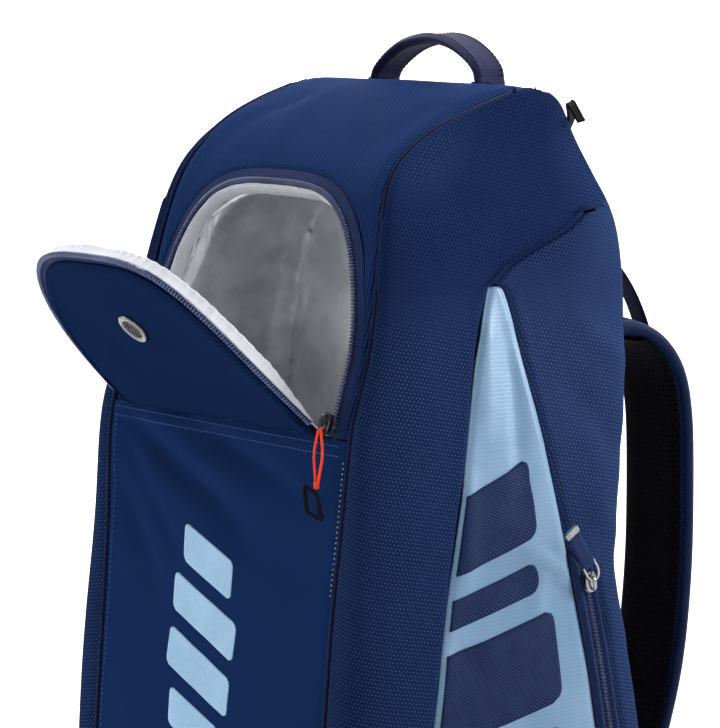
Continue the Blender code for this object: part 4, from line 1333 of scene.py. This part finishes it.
def make_vent_plate(centre, right, up, radius):
    """The vent's plate: small raised bridges over a dark backing."""
    edge = radius - 0.0016
    verts, faces = [], []
    count = 48
    for r, lift in ((edge, -0.0004), (edge * 0.5, 0.0000), (0.0004, 0.0002)):
        for i in range(count):
            a = 2 * math.pi * i / count
            verts.append(centre + (right * math.cos(a) + up * math.sin(a)) * r
                         + FLAP_OUT * lift)
    faces = grid_faces(3, count, ring=True)
    faces.append(tuple(2 * count + i for i in range(count)))
    # The backing wears the near-black shadow look: painted shade behind the bridges.
    plate = add_piece("vent_backing", verts, faces, LOOKS["shadow"])
    plate.modifiers.new("thickness", "SOLIDIFY").thickness = 0.0005
    dress(plate, "flap", "black_mesh", "vent_mesh")
    spots, ways, outs = [], [], []
    for ring_at, number in ((0.0, 1), (0.0019, 6), (0.0038, 12), (0.0058, 18), (0.0074, 22)):
        for i in range(number):
            a = 2 * math.pi * (i + 0.3 * ring_at * 1000) / number
            out = right * math.cos(a) + up * math.sin(a)
            spots.append(centre + out * ring_at + FLAP_OUT * 0.0004)
            ways.append(right * -math.sin(a) + up * math.cos(a))
            outs.append(FLAP_OUT)
    bridges = beads("vent_bridges", np.array(spots, float), np.array(ways, float),
                    np.array(outs, float), 0.00135, (0.00042, 0.00045), LOOKS["brushed"],
                    arc=0.0003)
    dress(bridges, "flap", "chrome")


# Hardware -------------------------------------------------------------------------
def axes(first, second):
    """A frame whose X is first and whose Y lies towards second."""
    x = Vector(first).normalized()
    z = x.cross(Vector(second)).normalized()
    return Matrix((x, z.cross(x), z)).transposed()


def add_block(bm, centre, size, turn, bevel):
    """Adds a box with rounded edges to a mesh."""
    made = bmesh.ops.create_cube(bm, size=1.0)
    verts = made["verts"]
    bmesh.ops.scale(bm, vec=size, verts=verts)
    edges = list(dict.fromkeys(e for v in verts for e in v.link_edges))
    result = bmesh.ops.bevel(bm, geom=edges, offset=bevel, segments=3, profile=0.6,
                             affect="EDGES")
    verts = list({v for f in result["faces"] for v in f.verts} | {v for v in verts if v.is_valid})
    bmesh.ops.transform(bm, matrix=Matrix.Translation(centre) @ turn.to_4x4(), verts=verts)


def add_tube(bm, path, radius, across, loop=False, squash=1.0):
    """Adds a round bar that follows a path to a mesh."""
    count, size, rings = 10, len(path), []
    for i, p in enumerate(path):
        if loop:
            along = path[(i + 1) % size] - path[i - 1]
        else:
            along = path[min(i + 1, size - 1)] - path[max(i - 1, 0)]
        sideways = (across - across.project(along)).normalized()
        out = along.normalized().cross(sideways)
        rings.append([bm.verts.new(p + sideways * u + out * v)
                      for u, v in disc(radius, count, squash)])
    if loop:
        rings.append(rings[0])
    for a, b in zip(rings, rings[1:]):
        for j in range(count):
            k = (j + 1) % count
            bm.faces.new((a[j], a[k], b[k], b[j]))
    if not loop:
        bm.faces.new(list(reversed(rings[0])))
        bm.faces.new(rings[-1])


def from_bmesh(name, bm, look, angle=40):
    """A piece from a finished bmesh, sharp where its faces meet at more than angle."""
    bmesh.ops.recalc_face_normals(bm, faces=bm.faces)
    mesh = bpy.data.meshes.new(name)
    bm.to_mesh(mesh)
    bm.free()
    mesh.shade_smooth()
    mesh.set_sharp_from_angle(angle=math.radians(angle))
    return put(name, mesh, look)


def middle_of(node):
    low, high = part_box(node)
    return (low + high) / 2


def make_slider(name, node, along, out, look, size):
    """A zip slider: two plates joined by a neck, with a bridge for the puller on top."""
    along, out = Vector(along).normalized(), Vector(out).normalized()
    across = along.cross(out)
    turn = axes(along, across)
    centre = middle_of(node)
    bm = bmesh.new()
    long, wide = 0.0128 * size, 0.0092 * size
    outline = [(-0.50, 0.30), (-0.28, 0.46), (0.10, 0.50), (0.40, 0.40), (0.50, 0.22)]
    outline += [(a, -b) for a, b in reversed(outline)]
    for lift, share in ((0.0010, 1.0), (-0.0022, 0.94)):
        plate = []
        for high in (lift - 0.0005, lift + 0.0005):
            plate.append([bm.verts.new(centre + along * a * long * share
                                       + across * b * wide * share + out * high)
                          for a, b in outline])
        count = len(outline)
        for j in range(count):
            k = (j + 1) % count
            bm.faces.new((plate[0][j], plate[0][k], plate[1][k], plate[1][j]))
        bm.faces.new(list(reversed(plate[0])))
        bm.faces.new(plate[1])
    bmesh.ops.bevel(bm, geom=[e for e in bm.edges if e.is_manifold], offset=0.00035,
                    segments=2, profile=0.6, affect="EDGES")
    add_block(bm, centre + along * 0.0036 * size - out * 0.0006,
              (0.0030 * size, 0.0030 * size, 0.0040), turn, 0.0006)
    hoop = [centre + along * a * 0.0046 * size + out * (0.0012 + h * 0.0036)
            for a, h in ((-1.0, 0.0), (-0.95, 0.55), (-0.6, 0.95), (0.0, 1.05), (0.6, 0.95),
                         (0.95, 0.55), (1.0, 0.0))]
    add_tube(bm, hoop, 0.0011 * size, across)
    return from_bmesh(name, bm, look, 50)


def make_shoe_pull():
    """The black slider at the foot of the shoe zip, with the cord and grip it hangs."""
    up = Vector(JOINTS["shoe_zip_slide"]["axis"])
    out = Vector((0, -up.z, up.y))
    dress(make_slider("shoe_slider_body", "shoe_zip_slider", up, out, LOOKS["plastic"], 1.15),
          "shoe_slider", "black_plastic", "shoe_zip_slider")
    pivot = Vector(JOINTS["shoe_pull_swing"]["pos_m"])
    low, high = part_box("shoe_zip_cord")
    away = middle_of("shoe_zip_grip") - pivot
    make_shoe_cord(pivot, high.z - low.z, away.y / away.z)
    make_shoe_grip(pivot, high.z - low.z, away.y / away.z)


def make_shoe_cord(pivot, drop, lean):
    """The orange loop that hangs from the slider, drop metres down to its knot."""
    bm = bmesh.new()
    loop = []
    for i in range(56):
        a = 2 * math.pi * i / 56
        depth = drop / 2 * (1 - math.cos(a)) - 0.001
        half = 0.0046 * (0.35 + 0.65 * math.exp(-((depth / drop - 0.42) / 0.34) ** 2))
        side_way = half * math.copysign(abs(math.sin(a)) ** 0.8, math.sin(a))
        loop.append(pivot + Vector((side_way, -lean * depth, -depth)))
    add_tube(bm, loop, 0.00095, Vector(BACK), loop=True)
    knot = pivot + Vector((0, -lean * drop, -drop + 0.0030))
    add_tube(bm, [knot + Vector((0, 0, h)) for h in (0.0022, 0.0, -0.0022)], 0.0019,
             Vector(BACK))
    dress(from_bmesh("shoe_pull_cord", bm, LOOKS["cord"]), "shoe_pull", "orange_cord",
          "shoe_zip_cord")


def make_shoe_grip(pivot, drop, lean):
    """The rubber grip below the cord: an open, skewed frame that is turned a little."""
    bm = bmesh.new()
    wide, tall = 0.0165, 0.0215
    across = Vector((0.92, 0.39, 0.0))
    mid = pivot + Vector((0.0, -lean * (drop + 0.0085) - 0.0030, -drop - 0.0085))
    corners = [(-0.42, 0.50), (0.16, 0.30), (0.50, -0.50), (-0.22, -0.28)]
    ring = []
    for (a, b), (c, d) in zip(corners, corners[1:] + corners[:1]):
        for share in (0.08, 0.30, 0.50, 0.70, 0.92):
            u, v = (a + (c - a) * share) * wide, (b + (d - b) * share) * tall
            ring.append(mid + across * u + Vector((0, lean * v, v)))
    add_tube(bm, ring, 0.0016, Vector(BACK), loop=True, squash=0.85)
    dress(from_bmesh("shoe_pull_grip", bm, LOOKS["rubber"]), "shoe_pull", "grey_rubber",
          "shoe_zip_grip")


def make_side_zips():
    """The closed side zips: a strip of cloth each side of a tape and its woven coil."""
    points, uv = even_columns(*side_grid(zip_bounds, FOOT_Z, ZIP_TOP + 0.0115, 30, 246))
    left, right, _, _ = reach(points)
    share = left / left[:, -1:]
    welt = np.exp(-((np.abs(share - 0.5) - 0.30) / 0.10) ** 2) * 0.0016
    lift = (dip(left, 0.0018, 0.002) + dip(right, 0.0018, 0.002) + welt
            - 0.0010 * np.exp(-((share - 0.5) / 0.16) ** 2))
    points = raised(points, lift, RIGHT)
    closed = points[:, 0, 2] < ZIP_TOP
    centre = ((points[:, 14] + points[:, 15]) / 2)[closed]
    outs = off_face(points, RIGHT)[closed, 15]
    for tag, flip in SIDES:
        thing = cloth(f"side_zip_tape_{tag}", mirrored(points, flip), LOOKS["tape"], uv)
        dress(thing, "bag", "navy_tape", f"side_zip_{tag}")
        woven_coil(f"side_zip_coil_{tag}", mirrored(centre, flip), mirrored(outs, flip),
                   0.0042, 0.0011, 0.0010)


U_PULLER = [(0.0046, 0.0100), (0.0050, 0.0050), (0.0046, 0.0010), (0.0030, -0.0030),
            (0.0, -0.0046), (-0.0030, -0.0030), (-0.0046, 0.0010), (-0.0050, 0.0050),
            (-0.0046, 0.0100)]
CRIMP = 0.0438               # from the puller's root to the middle of the tab's crimp


def make_side_pulls():
    """Chrome sliders on the side zips, each with a puller."""
    for tag, flip in SIDES:
        along = Vector(JOINTS[f"side_zip_slide_{tag}"]["axis"])
        out = Vector((flip, 0, 0)) - along * along.x * flip
        body = make_slider(f"side_slider_{tag}", f"side_zip_slider_{tag}", along, out,
                           LOOKS["chrome"], 1.05)
        dress(body, f"side_slider_{tag}", "chrome", f"side_zip_slider_{tag}")
        low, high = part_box(f"side_zip_pull_{tag}")
        near = Vector((low.x if flip > 0 else high.x, high.y, low.z))
        far = Vector((high.x if flip > 0 else low.x, low.y, high.z))
        lean = (far - near).normalized()
        across = along.cross(Vector((flip, 0, 0))).normalized()
        side_way = (across - across.project(lean)).normalized()
        make_side_puller(tag, near + lean * 0.001, lean, side_way, out)


def make_side_puller(tag, start, lean, side_way, out):
    """A side zip's puller: a U with its bar, a webbing tab and a crimp at the tab's end."""
    body = f"side_pull_{tag}"
    bm = bmesh.new()
    hoop = [start + side_way * a + lean * (b + 0.001) for a, b in U_PULLER]
    add_tube(bm, catmull(hoop, 3), 0.00095, out)
    add_tube(bm, [start + side_way * a + lean * 0.0112 for a in (-0.0056, 0.0, 0.0056)],
             0.0010, out)
    dress(from_bmesh(f"side_puller_{tag}", bm, LOOKS["chrome"]), body, "chrome")
    path = [start + lean * d for d in spread(0.0095, 0.0415, 14)]
    tab = sweep(f"side_pull_tab_{tag}", path, side_way,
                lambda t: band(0.0104, 0.0021 + 0.0008 * math.exp(-((t - 0.08) / 0.1) ** 2)),
                LOOKS["tape"])
    dress(tab, body, "dark_webbing", f"side_zip_pull_{tag}")
    bm = bmesh.new()
    turn, normal = axes(lean, side_way), lean.cross(side_way)
    add_block(bm, start + lean * CRIMP, (0.0050, 0.0112, 0.0032), turn, 0.0008)
    for k in (-1, 0, 1):
        add_block(bm, start + lean * (CRIMP + k * 0.0016) + normal * 0.0016,
                  (0.0007, 0.0094, 0.0006), turn, 0.0002)
    dress(from_bmesh(f"side_pull_crimp_{tag}", bm, LOOKS["chrome"]), body, "chrome")


MAIN_ZIP_X, MAIN_ZIP_Z, MAIN_ZIP_LOW, MAIN_ZIP_R = 0.104, 0.700, 0.600, 0.024


def main_zip_path():
    """Up the back's left edge, round two corners and down its right edge."""
    x, r = MAIN_ZIP_X, MAIN_ZIP_R
    path = [(-x, z) for z in spread(MAIN_ZIP_LOW, MAIN_ZIP_Z - r, 40)]
    path += [(-x + r * (1 - math.cos(a)), MAIN_ZIP_Z - r * (1 - math.sin(a)))
             for a in spread(0.1, math.pi / 2, 12)]
    right = [(-x, z) for x, z in path]
    top = [(x, MAIN_ZIP_Z) for x in spread(path[-1][0], right[-1][0], 60)]
    return path + top[1:-1] + right[::-1]


def make_main_zip():
    """The main compartment's zip round the top of the back."""
    path = main_zip_path()
    points = np.array([back_face(x, z, 0.0026) for x, z in path], float)
    above = np.array([back_face(x, z, 0.0036) for x, z in path], float)
    outs = unit(above - points)
    across = unit(np.cross(unit(np.gradient(points, axis=0)), outs))
    rows = tape_grid(points, outs, across,
                     [(-0.0112, -0.0018), (-0.0095, -0.0002), (-0.0060, 0.0008),
                      (-0.0036, -0.0004), (0.0036, -0.0004), (0.0060, 0.0008),
                      (0.0095, -0.0002), (0.0112, -0.0018)])
    dress(cloth("main_zip_tape", rows, LOOKS["tape"], thick=0.0010), "bag", "navy_tape",
          "main_zip")
    woven_coil("main_zip_coil", points, outs, 0.0044, 0.0010, 0.0009)
    make_main_slider()


def make_main_slider():
    """The main zip's slider, and the rubber tab that hangs from it."""
    pivot = Vector(JOINTS["main_pull_swing"]["pos_m"])
    axis = Vector(JOINTS["main_pull_swing"]["axis"])
    normal = Vector((0, axis.z, -axis.y))
    body = make_slider("main_slider_body", "main_zip_slider", Vector((1, 0, 0)), normal,
                       LOOKS["plastic"], 1.05)
    dress(body, "main_slider", "black_plastic", "main_zip_slider")
    tip = Vector((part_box("main_zip_tab")[1].x - 0.0060, 0.0870, 0.7270))
    peak = Vector((0.1180, 0.0900, 0.7385))
    path = catmull([pivot + normal * 0.002, pivot.lerp(peak, 0.5) + normal * 0.008, peak, tip], 6)
    tab = sweep("main_pull_tab", path, normal,
                lambda t: band(0.0030 + 0.0048 * min(t / 0.25, 1.0) - 0.0016 * t, 0.0024,
                               0.0004), LOOKS["rubber"])
    dress(tab, "main_pull", "grey_rubber", "main_zip_tab")


# Handle, straps and back ----------------------------------------------------------
HANDLE_ARC = [(-1.0, 0.0), (-0.935, 0.20), (-0.74, 0.50), (-0.45, 0.80), (-0.10, 0.965),
              (0.20, 0.985), (0.50, 0.86), (0.78, 0.58), (0.955, 0.27), (1.0, 0.0)]


def make_handle():
    """The webbing handle: a flat arch folded double over its grip, with sewn hems."""
    low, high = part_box("top_handle")
    half = (high.x - low.x) / 2 - 0.0028
    foot, crown = low.z, high.z - 0.0028
    path = [Vector((-half - 0.0008, HANDLE_Y, foot - h)) for h in (0.0072, 0.0048, 0.0024)]
    arc = catmull([(x * half, HANDLE_Y, foot + z * (crown - foot)) for x, z in HANDLE_ARC], 7)
    path += [Vector(p) for p in arc]
    path += [Vector((half + 0.0008, HANDLE_Y, foot - h)) for h in (0.0024, 0.0048, 0.0072)]

    def section(t):
        grip = math.sin(math.pi * t)
        return band(0.0255 + 0.0045 * grip ** 2, 0.0048 + 0.0010 * grip, 0.0008)

    handle = sweep("handle_webbing", path, Vector((0, 1, 0)), section, LOOKS["webbing"])
    dress(handle, "handle", "dark_webbing", "top_handle")
    for side_name, y in (("front", -0.0098), ("back", 0.0098)):
        for face, lift in (("outer", 0.0034), ("inner", -0.0034)):
            line, outs = [], []
            for i, p in enumerate(path[3:-3], 3):
                along = (path[i + 1] - path[i - 1]).normalized()
                out = along.cross(Vector((0, 1, 0))) * -1
                line.append(p + Vector((0, y, 0)) + out * lift)
                outs.append(out * math.copysign(1, lift))
            dress(stitch_row(f"handle_stitches_{side_name}_{face}", line, outs,
                             LOOKS["black thread"]), "handle", "dark_webbing")
    for tag, _ in SIDES:
        x = middle_of(f"handle_anchor_{tag}").x
        rows = [[(x + u, z) for u in spread(-0.0150, 0.0150, 21)]
                for z in spread(0.7485, 0.7190, 30)]
        points = as_grid(rows, lambda u, z: back_face(u, z, 0.0034))
        anchor = cloth(f"handle_foot_{tag}", points, LOOKS["webbing"], thick=0.0024)
        dress(anchor, "bag", "dark_webbing", f"handle_anchor_{tag}")


def padded(node, columns, rows, base, height, margin):
    """A grid over a CAD node of the back, and how padding stands off it: base metres at
    its edges and height more in its middle."""
    low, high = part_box(node)
    uv = [[(x, OUTLINE.back_s(z)) for x in spread(low.x, high.x, columns)]
          for z in spread(high.z, low.z, rows)]
    points = as_grid(uv, shell)
    left, right, first, last = reach(points)
    edge = np.minimum(np.minimum(left, right), np.minimum(first, last))
    return np.array(uv), points, base + height * (1 - np.exp(-(edge / margin) ** 2)), edge


def make_back_pad():
    """The back's spacer-mesh pad: two long cushions with a channel between, and bars."""
    uv, points, lift, edge = padded("back_pad", 90, 220, 0.0010, 0.0086, 0.009)
    x, z = points[..., 0], points[..., 2]
    channel = np.exp(-(x / 0.0065) ** 2)
    for k in range(4):
        at = 0.205 + 0.085 * k
        channel = np.maximum(channel, np.exp(-((z - at - 0.10 * np.abs(x)) / 0.0045) ** 2))
    lift = lift * (1 - 0.72 * channel * np.clip(edge / 0.006, 0, 1))
    lift += 0.0005 * waves(points, (40, 40, 40), 7.7) * np.clip(edge / 0.01, 0, 1)
    pad = cloth("back_pad_cloth", raised(points, lift, BACK), LOOKS["spacer"], uv,
                thick=0.0012)
    dress(pad, "bag", "black_mesh", "back_pad")
    low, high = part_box("back_pad")
    border = [(low.x, high.z), (high.x, high.z), (high.x, low.z), (low.x, low.z)]
    path = []
    for (a, b), (c, d) in zip(border, border[1:] + border[:1]):
        for share in spread(0.0, 1.0, 60)[:-1]:
            path.append(back_face(a + (c - a) * share, b + (d - b) * share, 0.0016))
    rim = sweep("back_pad_binding", path, Vector((0, 1, 0.01)), lambda _: disc(0.0019, 8),
                LOOKS["grosgrain"], loop=True)
    dress(rim, "bag", "navy_twill")


def make_yoke():
    """The sewn band that covers the straps' roots, and the lifters' and webbing's anchors."""
    uv, points, lift, _ = padded("strap_yoke", 120, 36, 0.0016, 0.0016, 0.005)
    shape = raised(points, lift, BACK)
    dress(cloth("yoke_cloth", shape, LOOKS["front"], uv, thick=0.0016), "bag", "navy_twill",
          "strap_yoke")
    outs = off_face(shape, BACK)
    for tag, row in (("upper", 3), ("lower", -4)):
        dress(stitch_row(f"yoke_stitches_{tag}", shape[row, 3:-3], outs[row, 3:-3],
                         LOOKS["blue thread"]), "bag", "navy_twill")
    for tag, _ in SIDES:
        for kind, height in (("webbing_anchor", 0.0020), ("lifter_anchor", 0.0024)):
            node = f"{kind}_{tag}"
            uv, points, lift, _ = padded(node, 26, 26, 0.0012, height, 0.003)
            patch = cloth(f"{kind}_cloth_{tag}", raised(points, lift, BACK), LOOKS["front"],
                          uv, thick=0.0012)
            dress(patch, "bag", "navy_twill", node)


def strap_width(t):
    return 0.064 * (1.0 - 0.28 * max(0.0, (t - 0.72) / 0.28) ** 2)


def strap_section(t, flip):
    """The strap's plump section, t of the way down it."""
    half, thick, rim = strap_width(t) / 2, 0.0108 * (1.0 - 0.22 * t), 0.0020
    outline = []
    for sign in (1, -1):
        for u in spread(-1.0, 1.0, 17):
            crown = (1 - abs(u) ** 2.6) ** 0.5
            outline.append((half * u * sign, -sign * flip * (rim + (thick / 2 - rim) * crown)))
    return outline


def make_straps():
    """The padded shoulder straps, with their lining, binding, buckles and webbing."""
    for tag, flip in SIDES:
        line = [Vector((STRAP_X * flip, y, z)) for y, z in catmull(STRAP_LINE, 9)]
        across = Vector((flip, 0, 0))
        # The strap's cover wears the shaded copy of the navy mesh: painted shade.
        cover = sweep(f"strap_cloth_{tag}", line, across, lambda t: strap_section(t, flip),
                      LOOKS["side"])
        dress(cover, f"strap_{tag}", "navy_mesh", f"strap_pad_{tag}")
        inner, edges = [], {1: [], -1: []}
        for i, p in enumerate(line):
            along = (line[min(i + 1, len(line) - 1)] - line[max(i - 1, 0)]).normalized()
            out = along.cross(Vector((1, 0, 0)))
            t = i / (len(line) - 1)
            inner.append(p + out * (0.0050 * (1 - 0.22 * t) + 0.0012))
            for sign in (1, -1):
                edges[sign].append(p + Vector((sign * (strap_width(t) / 2 - 0.0010), 0, 0)))
        lining = sweep(f"strap_lining_cloth_{tag}", inner[14:-8], across,
                       lambda _: band(0.0565, 0.0036), LOOKS["spacer"])
        dress(lining, f"strap_{tag}", "black_mesh", f"strap_lining_{tag}")
        for sign, name in ((1, "outer"), (-1, "inner")):
            bound = sweep(f"strap_binding_{name}_{tag}", edges[sign][2:], across,
                          lambda _: [(u * 1.15, v) for u, v in disc(0.0034, 10)],
                          LOOKS["grosgrain"])
            dress(bound, f"strap_{tag}", "navy_twill")
        make_ladder_lock(tag, line)
        make_webbing(tag, flip, line)


def make_ladder_lock(tag, line):
    """The buckle at the strap's end: a frame with two slots and a raised lip."""
    down = (line[-1] - line[-4]).normalized()
    turn = axes((1, 0, 0), down)
    centre = middle_of(f"ladder_lock_{tag}")
    bm = bmesh.new()
    for x in (-0.0162, 0.0162):
        add_block(bm, centre + Vector((x, 0, 0)), (0.0038, 0.0238, 0.0056), turn, 0.0012)
    for place, tall, thick in ((-0.0104, 0.0036, 0.0050), (-0.0010, 0.0040, 0.0062),
                               (0.0098, 0.0046, 0.0044)):
        add_block(bm, centre + down * place, (0.0350, tall, thick), turn, 0.0011)
    lock = from_bmesh(f"ladder_lock_body_{tag}", bm, LOOKS["plastic"])
    dress(lock, f"strap_{tag}", "black_plastic", f"ladder_lock_{tag}")
    bm = bmesh.new()
    start = line[-1] - down * 0.012
    add_block(bm, start.lerp(centre - down * 0.0104, 0.5), (0.0250, 0.0200, 0.0030), turn, 0.0012)
    dress(from_bmesh(f"lock_loop_{tag}", bm, LOOKS["webbing"]), f"strap_{tag}", "dark_webbing")


def make_webbing(tag, flip, line):
    """The webbing below the buckle, and the load lifter from the bag's top to the strap."""
    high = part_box(f"lower_webbing_{tag}")[1]
    down = (line[-1] - line[-4]).normalized()
    inward = Vector((0, down.z, -down.y))
    top = Vector((STRAP_X * flip, high.y - 0.0005, high.z))
    anchor = Vector(JOINTS[f"lower_webbing_swing_{tag}"]["pos_m"])
    path = [top.lerp(anchor, t) - inward * 0.004 * math.sin(math.pi * t)
            for t in spread(0.0, 1.0, 40)]
    webbing = sweep(f"lower_webbing_cloth_{tag}", path, Vector((1, 0, 0)),
                    lambda _: band(0.025, 0.0018), LOOKS["webbing"])
    dress(webbing, f"webbing_{tag}", "dark_webbing", f"lower_webbing_{tag}")
    path = [top - Vector((0, 0.0015 + 0.0035 * t, 0.0325 * t - 0.0090))
            for t in spread(0.0, 1.0, 12)]
    tail = sweep(f"lock_tail_{tag}", path, Vector((1, 0, 0)), lambda _: band(0.0245, 0.0018),
                 LOOKS["webbing"])
    dress(tail, f"strap_{tag}", "dark_webbing")

    top = back_face(LIFTER_X * flip, 0.650, 0.0042)
    end = Vector((LIFTER_X * flip, 0.1940, 0.5560))
    path = [top.lerp(end, t) + Vector((0, 0.009, 0.009)) * math.sin(math.pi * t)
            for t in spread(0.0, 1.0, 30)]
    lifter = sweep(f"load_lifter_cloth_{tag}", path, Vector((1, 0, 0)),
                   lambda _: band(0.017, 0.0017), LOOKS["webbing"])
    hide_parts(f"load_lifter_{tag}")
    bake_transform(lifter)


def finish_boards():
    """The boards inside the bag keep their CAD shape."""
    for name in ("base_board", "back_board", "racket_divider"):
        mesh = frame["nodes"][name].data
        mesh.materials.clear()
        mesh.materials.append(LOOKS["board"])


# The studio -----------------------------------------------------------------------
def make_studio():
    """A pale floor that curves up into a wall all round, soft lamps and the camera."""
    look = Look("studio", (0.90, 0.90, 0.90), 0.9)
    bowl = [(0.0, 0.0), (2.0, 0.0), (5.0, 0.0), (8.0, 0.0)]
    bowl += [(8.0 + 2.0 * math.sin(a), 2.0 * (1 - math.cos(a)))
             for a in spread(0.05, math.pi / 2, 14)]
    bowl.append((10.0, 7.0))
    count = 96
    verts = [(r * math.cos(a), r * math.sin(a), z) for r, z in bowl
             for a in (2 * math.pi * i / count for i in range(count))]
    floor = add_piece("floor", verts, grid_faces(len(bowl), count, ring=True), look.material)
    weld(floor.data, 1e-5)

    world = bpy.data.worlds.new("studio")
    bpy.context.scene.world = world
    world.use_nodes = True
    backdrop = world.node_tree.nodes["Background"].inputs
    backdrop["Color"].default_value = (1, 1, 1, 1)
    backdrop["Strength"].default_value = 0.40
    for name, spot, aim, size, fan, power in (
            ("key", (1.2, 2.1, 1.5), (0.05, 0, 0.88), 0.9, 46, 8.2),
            ("top", (0.0, 0.1, 2.4), (0, 0, 0.5), 1.2, 180, 3.0),
            ("fill", (-1.7, -2.0, 1.3), (0, 0, 0.5), 0.9, 180, 22.0),
            ("side", (2.45, -0.35, 2.0), (0.1, -0.05, 0.97), 0.7, 36, 1.1),
            ("floor", (-2.5, 1.8, 5.5), (-2.5, 1.8, 0.0), 5.0, 180, 600.0),
            ("wall", (-4.5, 3.2, 4.0), (-9.0, 6.5, 2.5), 3.0, 180, 420.0)):
        data = bpy.data.lights.new(name, "AREA")
        data.energy = power
        data.size = size
        data.spread = math.radians(fan)
        lamp = bpy.data.objects.new(name, data)
        lamp.location = spot
        lamp.rotation_euler = (Vector(aim) - Vector(spot)).to_track_quat("-Z", "Y").to_euler()
        bpy.context.scene.collection.objects.link(lamp)

    data = bpy.data.cameras.new("camera")
    data.lens = 178.0
    camera = bpy.data.objects.new("camera", data)
    spot = Vector((2.0086, -1.4593, 0.836))
    camera.location = spot
    camera.rotation_euler = (Vector((0, 0, 0.556)) - spot).to_track_quat("-Z", "Y").to_euler()
    bpy.context.scene.collection.objects.link(camera)
    bpy.context.scene.camera = camera
    bpy.context.scene.view_settings.view_transform = "Standard"


def main():
    front = make_front()
    make_front_print(front)
    make_hood()
    make_back()
    make_side_prints(make_sides())
    make_seams(front)
    make_seam_tapes()
    make_base()
    make_liner()
    make_mouth()
    make_flap()
    make_vent()
    make_shoe_pull()
    make_side_zips()
    make_side_pulls()
    make_main_zip()
    make_handle()
    make_back_pad()
    make_yoke()
    make_straps()
    finish_boards()
    make_studio()


main()
